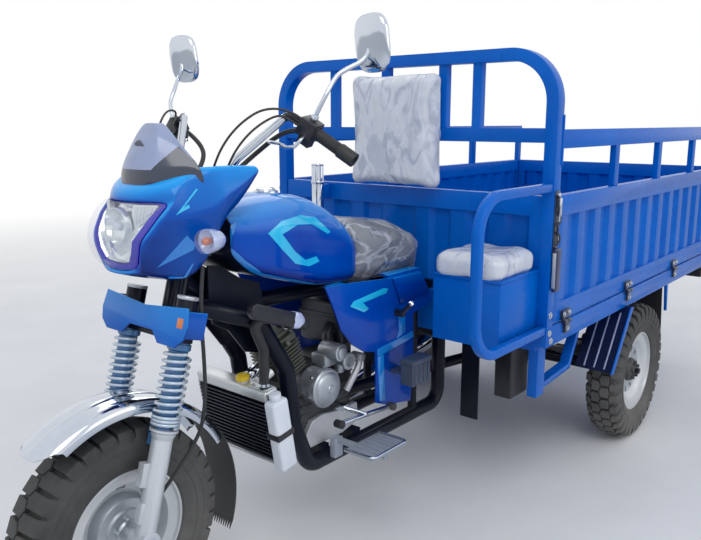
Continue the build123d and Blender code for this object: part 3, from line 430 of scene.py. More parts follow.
# spins about an axis through the origin
def spinChain(name, points, axis, steps=64, angle=360, closed=False):
    obj = drawChain(name, points)
    startEdit(obj, "VERT")
    if closed:
        bpy.ops.mesh.edge_face_add()
        bpy.ops.mesh.delete(type="ONLY_FACE")
        bpy.ops.mesh.select_all(action="SELECT")
    bpy.ops.mesh.spin(steps=steps, angle=math.radians(angle), center=(0, 0, 0), axis=axis)
    endEdit()
    return tidyFaces(obj)


def turnPart(name, profile, steps=64, closed=False):  # a profile of (radius, height) turned about Z
    return spinChain(name, [(radius, 0, height) for radius, height in profile], (0, 0, 1), steps,
        closed=closed)


def repeatRound(obj, count):  # copies spaced evenly about X
    startEdit(obj)
    turn = math.radians(360 * (count - 1) / count)
    bpy.ops.mesh.spin(steps=count - 1, angle=turn, center=(0, 0, 0), axis=(1, 0, 0), dupli=True)
    endEdit()
    return obj


def tidyFaces(obj, middle=None, merge=0.00005):  # merges doubles and turns the faces outwards
    startEdit(obj, "VERT")
    bpy.ops.mesh.remove_doubles(threshold=merge)
    faceOutwards()
    endEdit()
    if middle is not None:
        outward = sum(face.area * face.normal.dot(face.center - Vector(middle))
            for face in obj.data.polygons)
        if outward < 0:
            obj.data.flip_normals()
    return obj


def drawLoft(name, rings):  # the first ring is drawn, then extruded and moved to each next one
    obj = drawChain(name, rings[0])
    for before, after in zip(rings, rings[1:]):
        startEdit(obj, "EDGE")
        bpy.ops.mesh.select_all(action="DESELECT")
        endEdit()
        last = len(obj.data.vertices) - len(before)
        for vertex in obj.data.vertices:
            vertex.select = vertex.index >= last
        for edge in obj.data.edges:
            edge.select = min(edge.vertices) >= last
        bpy.ops.object.mode_set(mode="EDIT")
        bpy.ops.mesh.extrude_edges_move(TRANSFORM_OT_translate={"value": (0, 0, 0)})
        endEdit()
        fresh = [vertex for vertex in obj.data.vertices if vertex.index >= last + len(before)]
        for vertex in fresh:
            nearest = min(range(len(before)), key=lambda i: (Vector(before[i]) - vertex.co).length)
            vertex.co = after[nearest]
    return tidyFaces(obj)


def paintFaces(obj, look, test):
    obj.data.materials.append(paints[look])
    index = len(obj.data.materials) - 1
    for face in obj.data.polygons:
        if test(face.center, face.normal):
            face.material_index = index


def addBlock(name, low, high, bevel=0.0, segments=2):
    centre = [(a + b) / 2 for a, b in zip(low, high)]
    bpy.ops.mesh.primitive_cube_add(size=1, location=centre, scale=[b - a for a, b in zip(low, high)])
    obj = bpy.context.object
    obj.name = name
    settle(obj)
    if bevel:
        roundEdges(obj, bevel, segments)
    return obj


def addRod(name, start, end, radius, sides=32, endRadius=None, bevel=0.0):
    start, end = Vector(start), Vector(end)
    bpy.ops.mesh.primitive_cone_add(vertices=sides,
        radius1=radius, radius2=radius if endRadius is None else endRadius, depth=(end - start).length,
        location=(start + end) / 2)
    obj = bpy.context.object
    obj.name = name
    obj.rotation_euler = (end - start).to_track_quat("Z", "Y").to_euler()
    settle(obj)
    if bevel:
        roundEdges(obj, bevel)
    return obj


def addRing(radius, wire, x, around, sides):  # a ring standing across the X axis
    bpy.ops.mesh.primitive_torus_add(major_radius=radius, minor_radius=wire, major_segments=around,
        minor_segments=sides, rotation=(0, math.pi / 2, 0), location=(x, 0, 0))
    settle(bpy.context.object)
    return bpy.context.object


def addTube(name, points, radius, order=3, sides=6):
    curve = bpy.data.curves.new(name, "CURVE")
    curve.dimensions = "3D"
    curve.bevel_depth = radius
    curve.bevel_resolution = sides
    curve.use_fill_caps = True
    curve.resolution_u = 12
    spline = curve.splines.new("NURBS")
    spline.points.add(len(points) - 1)
    for point, place in zip(spline.points, points):
        point.co = (*place, 1)
    spline.order_u = order
    spline.use_endpoint_u = True
    obj = bpy.data.objects.new(name, curve)
    scene.collection.objects.link(obj)
    return obj


def toMesh(obj):
    makeActive(obj)
    bpy.ops.object.convert(target="MESH")
    return bpy.context.object


bedFront = -0.302


def bedY(offset):
    return bedFront + offset


def at(x, offset, z):  # a point whose Y is measured from the front of the bed
    return x, bedY(offset), z


rake = math.radians(16)
steerFrame = Matrix(((1, 0, 0, 0), (0, math.cos(rake), math.sin(rake), -1.507 + 0.045 * math.cos(rake)),
    (0, -math.sin(rake), math.cos(rake), 0.285 - 0.045 * math.sin(rake)), (0, 0, 0, 1)))
toSteer = steerFrame.inverted()


def place(obj, matrix):
    obj.matrix_world = matrix @ obj.matrix_world
    settle(obj)
    return obj


# wheels
wheel = {"front": (0, -1.507, 0.285), "rearX": 0.56, "rearY": 0.588, "axleZ": 0.285, "tread": 34}
carcass = [(0.036, 0.157), (0.054, 0.168), (0.062, 0.186), (0.065, 0.212), (0.064, 0.236), (0.06, 0.252),
    (0.05, 0.264), (0.026, 0.2695), (0.0, 0.271)]
frontBlock = {"inner": 0.005, "outer": 0.055, "length": 0.041, "base": 0.262, "top": 0.2848, "point": 0.008,
    "drop": 0.01, "lug": (0.007, -0.022)}
rearBlock = {"inner": 0.005, "outer": 0.034, "length": 0.04, "base": 0.262, "top": 0.2848, "point": 0.007,
    "drop": 0.003, "lug": None}
shoulderBlock = {"inner": 0.041, "outer": 0.061, "length": 0.03, "base": 0.25, "top": 0.281, "point": 0.005,
    "drop": 0.01, "lug": (0.005, -0.02)}


def treadBlock(name, look):
    half = look["length"] / 2
    block = addBlock(name, (look["inner"], -half, look["base"]), (look["outer"], half, look["top"]))
    startEdit(block)
    bpy.ops.mesh.bisect(plane_co=(0, 0, 0), plane_no=(0, 1, 0))
    endEdit()
    for vertex in block.data.vertices:
        if vertex.co.x < look["inner"] + 0.001 and abs(vertex.co.y) < 0.001:
            vertex.co.x -= look["point"]
        if vertex.co.x > look["outer"] - 0.001:
            vertex.co.z -= look["drop"]
    if look["lug"]:
        startEdit(block)
        pick(block, lambda centre, normal: normal.x > 0.8)
        extrudeFaces((look["lug"][0], 0, look["lug"][1]))
        endEdit()
    roundEdges(block, 0.0016, 1, 30)
    return block


def makeTyre(name, nodeName, body, middle, blocks):
    outline = carcass + [(-x, r) for x, r in reversed(carcass[:-1])]
    tyre = spinChain(name, [(x, 0, r) for x, r in outline], (1, 0, 0), 102)
    parts = [tyre]
    halfPitch = math.pi / wheel["tread"]
    for index, look in enumerate(blocks):
        block = treadBlock(f"{name}Block{index}", look)
        place(block, Matrix.Rotation(halfPitch * index, 4, "X"))
        other = mirrorCopy(block, f"{name}BlockOther{index}")
        place(other, Matrix.Rotation(halfPitch, 4, "X"))
        parts += [repeatRound(block, wheel["tread"]), repeatRound(other, wheel["tread"])]
    for radius in (0.205, 0.228):  # raised rings on the side walls
        for side in (1, -1):
            parts.append(addRing(radius, 0.0016, side * 0.0642, 96, 8))
    tyre = joinAll(parts, name)
    place(tyre, Matrix.Translation(middle))
    return finishPiece(tyre, body, "tyreRubber", "tyre_rubber", [nodeName], 30)


rimLip = [(0.036, 0.128), (0.038, 0.148), (0.04, 0.157), (0.0485, 0.159), (0.0487, 0.166), (0.043, 0.1685),
    (0.038, 0.16), (0.034, 0.142), (0.0, 0.134)]
frontFace = [(0.046, 0.0), (0.046, 0.026), (0.041, 0.031), (0.041, 0.056), (0.034, 0.06), (0.034, 0.083),
    (0.026, 0.088), (0.0, 0.091), (-0.006, 0.096), (-0.006, 0.114), (0.004, 0.121), (0.026, 0.124)]
frontBack = [(-0.03, 0.124), (-0.016, 0.114), (-0.016, 0.094), (-0.034, 0.086), (-0.04, 0.04),
    (-0.046, 0.026), (-0.046, 0.0)]
rearFace = [(0.044, 0.0), (0.044, 0.017), (0.036, 0.021), (0.036, 0.04), (0.03, 0.046), (0.014, 0.05),
    (0.012, 0.072), (0.015, 0.1), (0.024, 0.112), (0.032, 0.122)]
rearBack = [(-0.026, 0.122), (0.004, 0.11), (0.004, 0.054), (-0.036, 0.046), (-0.042, 0.02), (-0.042, 0.0)]


def makeRim(name, nodeName, body, middle, side, face, back, slots, hubLook):
    otherLip = [(-x, r) for x, r in reversed(rimLip[:-1])]
    outline = face + rimLip + otherLip + back
    rim = spinChain(name, [(side * x, 0, r) for x, r in outline], (1, 0, 0), 60)

    def isSlot(centre, normal):
        radius = math.hypot(centre.y, centre.z)
        segment = int((math.degrees(math.atan2(centre.z, centre.y)) % 360) // 6)
        return slots[0] < radius < slots[1] and normal.x * side > 0.5 and segment % slots[2] < slots[3]

    startEdit(rim)
    pick(rim, isSlot)
    bpy.ops.mesh.inset(thickness=0.002)
    extrudeFaces((-side * 0.007, 0, 0))
    endEdit()
    parts = [rim]
    for index in range(5):
        angle = math.radians(72 * index + 20)
        spot = (0.0, 0.033 * math.cos(angle), 0.033 * math.sin(angle))
        start = 0.033 if hubLook else 0.04
        nut = addRod(f"{name}Nut{index}", (side * start, *spot[1:]), (side * (start + 0.014), *spot[1:]),
            0.008, 6, bevel=0.001)
        parts.append(nut)
    rim = joinAll(parts, name)
    place(rim, Matrix.Translation(middle))
    finishPiece(rim, body, "rimSilver", "rim_silver", [nodeName], 32)

    def inRing(low, high):
        return lambda centre, normal: low < math.hypot(centre.y - middle[1], centre.z - middle[2]) < high

    paintFaces(rim, "castAlloy", inRing(0, 0.09))
    if hubLook:
        paintFaces(rim, hubLook, inRing(0, 0.049))
    return rim


makeTyre("frontTyre", "front_tyre", "front_wheel", wheel["front"], [frontBlock])
makeRim("frontRim", "front_rim", "front_wheel", wheel["front"], 1, frontFace, frontBack,
    (0.096, 0.114, 6, 3), None)
for sideName, side in sides:
    middle = (side * wheel["rearX"], wheel["rearY"], wheel["axleZ"])
    body = f"rear_{sideName}_wheel"
    makeTyre(f"rearTyre_{sideName}", f"rear_tyre_{sideName}", body, middle, [rearBlock, shoulderBlock])
    makeRim(f"rearRim_{sideName}", f"rear_rim_{sideName}", body, middle, side, rearFace, rearBack,
        (0.072, 0.1, 6, 2), "leafSteel")
print("wheels ready")

# fork: sliders, upper tubes, yoke, springs and cover
spring = {"x": 0.108, "y": -0.045, "bottom": 0.286, "top": 0.484, "radius": 0.0328, "wire": 0.0043,
    "tightTurns": 3, "tightPitch": 0.0088, "openTurns": 9}
fork = softCopy("front_fork", "frontFork", 0.0015, 2)
finishPiece(fork, "steering", "forkSilver", "fork_silver", ["front_fork"], 30)


def steerHeight(low, high):
    return lambda centre, normal: low < (toSteer @ centre).z < high


paintFaces(fork, "sleeveBlue", steerHeight(0.272, 0.5))
paintFaces(fork, "frameBlack", steerHeight(0.5, 0.76))
paintFaces(fork, "blackPlastic", steerHeight(0.76, 0.96))


def makeCoil(name, side, low, pitch, turns, steps=28):
    bpy.ops.mesh.primitive_circle_add(vertices=10, radius=spring["wire"], location=(spring["radius"], 0, 0),
        rotation=(math.pi / 2, 0, 0))
    coil = bpy.context.object
    coil.name = name
    settle(coil)
    addModifier(coil, "SCREW", screw_offset=pitch, iterations=turns, steps=steps, render_steps=steps,
        axis="Z", use_normal_calculate=True)
    tidyFaces(coil, merge=0.00001)
    return place(coil, steerFrame @ Matrix.Translation((side * spring["x"], spring["y"], low)))


for sideName, side in sides:
    centreX = side * spring["x"]
    tightTop = spring["bottom"] + 0.004 + spring["tightTurns"] * spring["tightPitch"]
    openPitch = (spring["top"] - 0.006 - tightTop) / spring["openTurns"]
    parts = [makeCoil("coilTight", side, spring["bottom"] + 0.004, spring["tightPitch"],
        spring["tightTurns"]), makeCoil("coilOpen", side, tightTop, openPitch, spring["openTurns"])]
    finishParts(parts, f"forkSpring_{sideName}", "steering", "springSteel", "spring_steel",
        ["fork_springs"] if side == 1 else (), 50)
    sleeve = turnPart(f"forkSleeve_{sideName}", [(0.0175, 0.284), (0.024, 0.286), (0.0245, 0.3),
        (0.0245, 0.482), (0.03, 0.486), (0.03, 0.5), (0.0175, 0.504)], 40)
    place(sleeve, steerFrame @ Matrix.Translation((centreX, spring["y"], 0)))
    finishPiece(sleeve, "steering", "sleeveBlue", "spring_steel")
    seal = turnPart(f"forkSeal_{sideName}", [(0.0175, 0.286), (0.0365, 0.284), (0.037, 0.279),
        (0.031, 0.274), (0.031, 0.268), (0.0285, 0.264), (0.0272, 0.258)], 40)
    place(seal, steerFrame @ Matrix.Translation((centreX, spring["y"], 0)))
    finishPiece(seal, "steering", "forkSilver", "fork_silver")
    foot = [addRod("axleLug", (side * 0.078, -0.045, 0), (side * 0.138, -0.045, 0), 0.03, 32, bevel=0.003),
        addRod("axleNut", (side * 0.137, -0.045, 0), (side * 0.152, -0.045, 0), 0.017, 6, bevel=0.002),
        addBlock("caliperLug", (side * 0.108 - 0.012, -0.08, 0.046), (side * 0.108 + 0.012, -0.05, 0.1),
        0.004), addRod("topCap", (side * 0.108, -0.045, 0.612), (side * 0.108, -0.045, 0.622), 0.0275, 32,
        bevel=0.003)]
    foot = joinAll(foot, f"forkFoot_{sideName}")
    place(foot, steerFrame)
    finishPiece(foot, "steering", "forkSilver", "fork_silver")

cover = softCopy("fork_cover", "forkCover", 0.004, 3, 25)
finishPiece(cover, "steering", "fairingBlue", "fairing_plastic", ["fork_cover"], 50)
reflector = addBlock("forkReflector", (0.14, -0.0925, 0.543), (0.164, -0.086, 0.569), 0.002)
place(reflector, steerFrame)
finishPiece(reflector, "steering", "amberLens", "signal_lens")
slotPlug = addBlock("forkCoverSlot", (0.09, -0.0885, 0.574), (0.126, -0.086, 0.58), 0.001)
place(slotPlug, steerFrame)
finishPiece(slotPlug, "steering", "blackPlastic", "black_plastic")
print("fork ready")

# front fender with its rubber flap
fender = {"start": -40, "end": 62, "flapEnd": 108, "teeth": 26}
fenderLine = [(-0.068, 0.316), (-0.0675, 0.33), (-0.062, 0.343), (-0.05, 0.3495), (-0.03, 0.3515),
    (-0.012, 0.3505), (-0.008, 0.3535)]
fenderLine = fenderLine + [(0, 0.354)] + [(-x, r) for x, r in reversed(fenderLine)]
startTurn = math.radians(fender["start"])
chain = [(x, r * math.sin(startTurn), r * math.cos(startTurn)) for x, r in fenderLine]
fenderSkin = spinChain("frontFender", chain, (1, 0, 0), 48, fender["end"] - fender["start"])
for vertex in fenderSkin.data.vertices:  # the front corners are rounded off
    turn = math.degrees(math.atan2(vertex.co.y, vertex.co.z)) - fender["start"]
    reach = abs(vertex.co.x) / 0.068
    if turn < 12:
        extra = math.radians((1 - turn / 12) * 9 * reach**4)
        vertex.co = Matrix.Rotation(-extra, 3, "X") @ vertex.co
addModifier(fenderSkin, "SOLIDIFY", thickness=0.0022, offset=-1)
roundEdges(fenderSkin, 0.0009, 2, 40)
place(fenderSkin, Matrix.Translation(wheel["front"]))
finishPiece(fenderSkin, "steering", "chrome", "chrome", ["front_fender"], 40)
flapTurn = math.radians(fender["end"] - 4)
chain = []
for index in range(fender["teeth"] + 1):
    x = -0.063 + 0.126 * index / fender["teeth"]
    chain.append((x, 0.3462 * math.sin(flapTurn), 0.3462 * math.cos(flapTurn)))
flap = spinChain("frontFlap", chain, (1, 0, 0), 24, fender["flapEnd"] - fender["end"] + 4)
for vertex in flap.data.vertices:  # cut teeth along the lower edge
    turn = math.degrees(math.atan2(vertex.co.y, vertex.co.z))
    column = round((vertex.co.x + 0.063) / 0.126 * fender["teeth"])
    if turn > fender["flapEnd"] - 1:
        extra = math.radians(4.5 if column % 2 else 0)
        vertex.co = Matrix.Rotation(-extra, 3, "X") @ vertex.co
addModifier(flap, "SOLIDIFY", thickness=0.003, offset=0)
place(flap, Matrix.Translation(wheel["front"]))
finishPiece(flap, "steering", "blackRubber", "black_rubber", ["front_fender_flap"], 40)
print("fender ready")

# cords: brake hose, control cables and wiring harness
gripStart = Vector(at(0.385, -0.722, 1.222))
gripEnd = Vector(at(0.215, -0.771, 1.334))
gripX = (gripEnd - gripStart).normalized()
gripZ = -gripX.cross(Vector((0, 1, 0))).normalized()
gripY = gripZ.cross(gripX)
gripFrame = Matrix.Translation(gripStart) @ Matrix((gripX, gripY, gripZ)).transposed().to_4x4()


def onGrip(x, y, z):
    return tuple(gripFrame @ Vector((x, y, z)))


cords = {
    "brakeHose": {"width": 0.01, "length": 0.626, "route": [at(0.14, -1.01, 0.96), at(0.152, -1.034, 0.86),
        at(0.156, -1.03, 0.72), at(0.154, -1.03, 0.6), at(0.142, -1.052, 0.5), at(0.09, -1.14, 0.372)]},
    "outerCable": {"width": 0.006, "length": 0.364, "route": [at(0.098, -0.952, 1.15),
        at(0.119, -0.942, 1.215), at(0.143, -0.924, 1.27), at(0.17, -0.89, 1.316), at(0.198, -0.842, 1.348),
        onGrip(0.204, 0.012, 0.016), onGrip(0.16, 0.012, 0.014)]},
    "innerCable": {"width": 0.006, "length": 0.306, "route": [at(0.104, -0.914, 1.15),
        at(0.126, -0.901, 1.214), at(0.151, -0.88, 1.264), at(0.174, -0.848, 1.302),
        at(0.203, -0.808, 1.33), onGrip(0.202, 0.022, -0.002), onGrip(0.16, 0.022, -0.002)]},
    "harness": {"width": 0.013, "length": 0.342, "route": [at(0.062, -0.9, 1.11), at(0.07, -0.85, 1.17),
        at(0.092, -0.803, 1.214), at(0.122, -0.785, 1.242), at(0.165, -0.78, 1.27), at(0.215, -0.776, 1.292),
        at(0.262, -0.768, 1.292)]}}


def layCord(name, look, route):
    cord = addTube(name, route, look["width"] / 2)
    cord.data.materials.append(paints["blackRubber"])
    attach(cord, "steering")
    return cord


for cordName, look in cords.items():
    cord = layCord(cordName, look, look["route"])
    if cordName == "brakeHose":
        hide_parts("brake_hose")
    else:
        other = layCord(cordName + "_right", look, [(-x, y, z) for x, y, z in look["route"]])
        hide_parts("control_cables")
print("cords ready")

# fairing: half a shell drawn ring by ring, mirrored and thickened
# each ring sweeps back towards its outer end
fairing = {"wall": 0.0032, "crease": 0.7, "rings": [
    (-1.133, 0.056, 0.126, [
        (0, 1.156), (0.07, 1.157), (0.112, 1.162), (0.13, 1.158), (0.138, 1.12), (0.137, 1.086),
        (0.127, 1.048), (0.118, 1.012), (0.107, 0.975), (0.092, 0.94), (0.046, 0.936), (0, 0.935)]),
    (-1.065, 0.03, 0.118, [
        (0, 1.182), (0.075, 1.184), (0.116, 1.191), (0.13, 1.185), (0.148, 1.14), (0.162, 1.1),
        (0.152, 1.05), (0.14, 1.0), (0.128, 0.952), (0.118, 0.922), (0.06, 0.92), (0, 0.92)]),
    (-1.01, 0.034, 0.175, [
        (0, 1.206), (0.09, 1.206), (0.136, 1.206), (0.148, 1.199), (0.163, 1.156), (0.176, 1.114),
        (0.171, 1.078), (0.162, 1.042), (0.154, 1.01), (0.145, 0.982), (0.08, 0.97), (0, 0.97)]),
    (-0.958, 0.0, 1.0, [
        (0, 1.207), (0.096, 1.207), (0.142, 1.207), (0.153, 1.2), (0.168, 1.17), (0.179, 1.138),
        (0.177, 1.12), (0.174, 1.104), (0.171, 1.092), (0.167, 1.084), (0.1, 1.08), (0, 1.08)]),
    (-0.915, 0.0, 1.0, [
        (0, 1.208), (0.1, 1.208), (0.146, 1.208), (0.157, 1.202), (0.17, 1.18), (0.179, 1.151),
        (0.177, 1.138), (0.175, 1.126), (0.171, 1.114), (0.165, 1.1), (0.12, 1.096), (0, 1.096)]),
    (-0.845, 0.0, 1.0, [
        (0, 1.204), (0.11, 1.204), (0.158, 1.204), (0.168, 1.202), (0.174, 1.199), (0.179, 1.194),
        (0.179, 1.191), (0.178, 1.189), (0.177, 1.187), (0.175, 1.184), (0.12, 1.182), (0, 1.182)])]}


def sweep(x, depth=0.05, width=0.118):
    return depth * (abs(x) / width) ** 2.2


def nose(x, z):  # the rounded front that the lamp and its rim follow
    rounding = 1 - min(1.1, ((z - 1.045) / 0.08) ** 2)
    return -1.145 - (1.12 - z) * 0.16 - 0.038 * rounding + sweep(x)


def creaseEdges(obj, lines, amount):  # marks the edges that run between two points of one of the lines
    startEdit(obj, "EDGE")
    bpy.ops.mesh.select_all(action="DESELECT")
    endEdit()
    lines = [{tuple(round(value, 4) for value in point) for point in line} for line in lines]
    for edge in obj.data.edges:
        ends = [tuple(round(value, 4) for value in obj.data.vertices[index].co) for index in edge.vertices]
        edge.select = any(ends[0] in line and ends[1] in line for line in lines)
    bpy.ops.object.mode_set(mode="EDIT")
    bpy.ops.transform.edge_crease(value=amount)
    endEdit()


rimSizes = [
    (0.001, [
        (0, 1.124), (0.06, 1.124), (0.107, 1.1245), (0.125, 1.121), (0.123, 1.106), (0.12, 1.088),
        (0.109, 1.052), (0.099, 1.035), (0.091, 1.0), (0.072, 0.963), (0.036, 0.958), (0, 0.957)]),
    (-0.004, [
        (0, 1.133), (0.062, 1.133), (0.112, 1.134), (0.134, 1.128), (0.132, 1.107), (0.129, 1.086),
        (0.118, 1.048), (0.108, 1.03), (0.099, 0.996), (0.079, 0.955), (0.04, 0.95), (0, 0.949)])]
fairingRings = [[(x, bedY(nose(x, z) + shift), z) for x, z in points] for shift, points in rimSizes]
fairingRings += [[(x, bedY(y + sweep(x, depth, width)), z) for x, z in points]
    for y, depth, width, points in fairing["rings"]]
shell = drawLoft("fairingShell", fairingRings)
startEdit(shell)
for back, inner, shelf in ((-1.045, 0.13, False), (-0.995, 0.138, True), (-0.99, 0.152, False)):
    pick(shell,
        lambda centre, normal: centre.y > bedY(back) and centre.x < inner and (centre.z > 1.19) == shelf)
    bpy.ops.mesh.delete(type="FACE")
endEdit()
creaseEdges(shell, [[ring[index] for ring in fairingRings] for index in (3, 5, 9)], fairing["crease"])
creaseEdges(shell, [fairingRings[1]], 0.5)
addModifier(shell, "MIRROR", use_clip=True)
tidyFaces(shell, at(0, -1.03, 1.08))
addModifier(shell, "SOLIDIFY", thickness=fairing["wall"], offset=-1)
addModifier(shell, "SUBSURF", levels=2, render_levels=2)
finishPiece(shell, "steering", "fairingBlue", "fairing_plastic", ["headlight_fairing"], 60)


# headlight: every part follows the same sweep
lamp = {"middle": 1.04, "bulbZ": 1.064,
    "outer": [(0, 0.958), (0.036, 0.959), (0.071, 0.964), (0.09, 1.0), (0.098, 1.035), (0.108, 1.052),
    (0.119, 1.088), (0.122, 1.106), (0.124, 1.1205), (0.107, 1.1235), (0.06, 1.1235), (0, 1.1235)],
    "inner": [(0, 0.974), (0.034, 0.975), (0.056, 0.98), (0.072, 1.004), (0.08, 1.036), (0.09, 1.054),
    (0.102, 1.089), (0.107, 1.105), (0.112, 1.1165), (0.1, 1.1205), (0.06, 1.121), (0, 1.121)]}


def lampShell(name, steps):  # closed rings: outline, size, depth behind the nose
    rings = []
    for outlineName, size, behind in steps:
        half = [(x * size, lamp["middle"] + (z - lamp["middle"]) * size) for x, z in lamp[outlineName]]
        ring = half + [(-x, z) for x, z in reversed(half[1:-1])] + half[:1]
        rings.append([(x, bedY(nose(x, z) + behind), z) for x, z in ring])
    obj = drawLoft(name, rings)
    startEdit(obj)
    bpy.ops.mesh.fill_holes(sides=0)
    faceOutwards()
    endEdit()
    return obj


lens = lampShell("headlightLens",
    [("outer", 1.0, 0.012), ("outer", 1.0, -0.003), ("outer", 0.97, -0.01), ("outer", 0.88, -0.015),
    ("outer", 0.7, -0.018), ("outer", 0.45, -0.019), ("outer", 0.2, -0.02), ("outer", 0.04, -0.02)])
addModifier(lens, "SUBSURF", levels=2, render_levels=2)
finishPiece(lens, "steering", "clearShell", "lamp_glass", ["headlight"], 60)
housing = lampShell("headlightHousing", [("outer", 0.97, 0.045), ("outer", 0.985, 0.003),
    ("inner", 1.0, 0.005), ("inner", 0.97, 0.042), ("inner", 0.3, 0.046)])
finishPiece(housing, "steering", "indigoPlastic", "black_plastic", angle=30)
plate = lampShell("reflectorPlate",
    [("inner", 0.96, 0.028), ("inner", 0.965, 0.016), ("inner", 0.9, 0.032), ("inner", 0.3, 0.041)])
parts = [plate]
bowl = turnPart("reflectorBowl", [(0.0, 0.022), (0.012, 0.02), (0.028, 0.01), (0.04, -0.008),
    (0.043, -0.018), (0.046, -0.018), (0.046, 0.0)], 48)
place(bowl, Matrix.Translation(at(0, -1.144, lamp["bulbZ"])) @ Matrix.Rotation(-math.pi / 2, 4, "X"))
parts.append(bowl)


def startFilled(obj):  # fills a drawn outline and leaves its face selected
    startEdit(obj, "VERT")
    bpy.ops.mesh.edge_face_add()
    bpy.ops.mesh.select_mode(type="FACE")
    bpy.ops.mesh.select_all(action="SELECT")


def growPlate(name, outline, y, steps, centre):  # a filled outline, extruded and scaled step by step
    grown = drawChain(name, [(x, y, z) for x, z in outline])
    startFilled(grown)
    for forward, size in steps:
        extrudeFaces((0, forward, 0))
        bpy.ops.transform.resize(value=(size, 1, size), center_override=centre)
    endEdit()
    return tidyFaces(grown)


for side in (1, -1):
    wing = growPlate("reflectorWing", [(side * x, z) for x, z in ((0.044, 1.096), (0.05, 1.118),
        (0.106, 1.118), (0.098, 1.104), (0.066, 1.07), (0.051, 1.056))], bedY(-1.134), [(-0.014, 0.99)],
        (side * 0.07, 0, 1.09))
    wingParts = [wing]
    for index in range(6):
        x = 0.054 + 0.0088 * index
        wingParts.append(addRod("wingFlute", (side * (x + 0.004), bedY(-1.147), 1.115),
            (side * (x - 0.002), bedY(-1.147), 1.069 + 0.0062 * index), 0.004, 12))
    wing = joinAll(wingParts, "wing")
    for vertex in wing.data.vertices:
        vertex.co.y += sweep(vertex.co.x)
    parts.append(wing)
for index in range(9):
    x = -0.044 + 0.011 * index
    parts.append(addRod("chinFlute", at(x, -1.146, 0.982), at(x, -1.146, 1.004), 0.0034, 12))
parts.append(addBlock("chinRail", at(-0.049, -1.15, 0.978), at(0.049, -1.138, 0.982), 0.0008))
parts.append(addBlock("chinShelf", at(-0.05, -1.152, 1.005), at(0.05, -1.136, 1.01), 0.0008))
finishParts(parts, "headlightReflector", "steering", "reflectorSilver", "lamp_glass", angle=30)
chin = addBlock("headlightChin", at(-0.048, -1.141, 0.981), at(0.048, -1.132, 1.006), 0.001)
finishPiece(chin, "steering", "indigoPlastic", "black_plastic")
shine = growPlate("headlightShine", [(-0.03, 1.012), (0.05, 1.012), (0.05, 1.038)], bedY(-1.14),
    [(-0.006, 0.98)], (0.02, 0, 1.02))
finishPiece(shine, "steering", "reflectorSilver", "lamp_glass")
bulb = addRod("headlightBulb", at(0, -1.16, lamp["bulbZ"]), at(0, -1.135, lamp["bulbZ"]), 0.011, 24, 0.008,
    bevel=0.003)
finishPiece(bulb, "steering", "bottlePlastic", "lamp_glass")
print("fairing and headlight ready")

# smoked screen: a flat front facet with a facet running back on each side
screenSizes = [(1.15, 0.06, -1.112, 0.152, -1.0), (1.199, 0.06, -1.108, 0.15, -1.004),
    (1.24, 0.052, -1.085, 0.112, -1.018), (1.279, 0.045, -1.063, 0.072, -1.026),
    (1.302, 0.032, -1.051, 0.044, -1.026), (1.312, 0.02, -1.046, 0.028, -1.026)]
screenRings = []
for z, facet, front, end, back in screenSizes:
    bend = front + (back - front) * 0.1
    ring = [(0, front), (facet * 0.55, front + (bend - front) * 0.2),
        (facet, bend), (facet + (end - facet) * 0.35, bend + (back - bend) * 0.33),
        (facet + (end - facet) * 0.72, bend + (back - bend) * 0.68), (end, back)]
    screenRings.append([at(x, y, z) for x, y in ring])
screen = drawLoft("smokedScreen", screenRings)
creaseEdges(screen, [[ring[2] for ring in screenRings]], 0.55)
addModifier(screen, "MIRROR", use_clip=True)
tidyFaces(screen, at(0, -1.0, 1.2))
addModifier(screen, "SOLIDIFY", thickness=0.003, offset=-1)
addModifier(screen, "SUBSURF", levels=2, render_levels=2)
band = [((0.0, 0.0, 1.199), (0.0, 0.0, 1.0))]
for side in (1, -1):
    band.append(((side * 0.06, 0.0, 1.199), (side * -1.87, 0.0, 1.0)))
    band.append(((side * 0.09, 0.0, 1.255), (side * 0.93, 0.0, 1.0)))
for planePlace, planeNormal in band:
    startEdit(screen)
    bpy.ops.mesh.bisect(plane_co=planePlace, plane_no=Vector(planeNormal).normalized())
    endEdit()
finishPiece(screen, "steering", "screenPale", "smoked_screen", ["windshield"], 60)


def lowerBand(centre, normal):  # low on the front facet, rising along each side facet and falling behind
    x = abs(centre.x)
    return centre.z < 1.199 or centre.z < min(1.199 + 1.87 * (x - 0.06), 1.255 - 0.93 * (x - 0.09))


paintFaces(screen, "smokedScreen", lowerBand)
ventFaces = [(-0.026, 1.258), (0.014, 1.256), (-0.01, 1.269)]
vent = growPlate("screenVent", ventFaces, bedY(-1.078), [(0.012, 1.0)], (0, 0, 1.26))
finishPiece(vent, "steering", "smokedScreen", "smoked_screen")
print("screen ready")

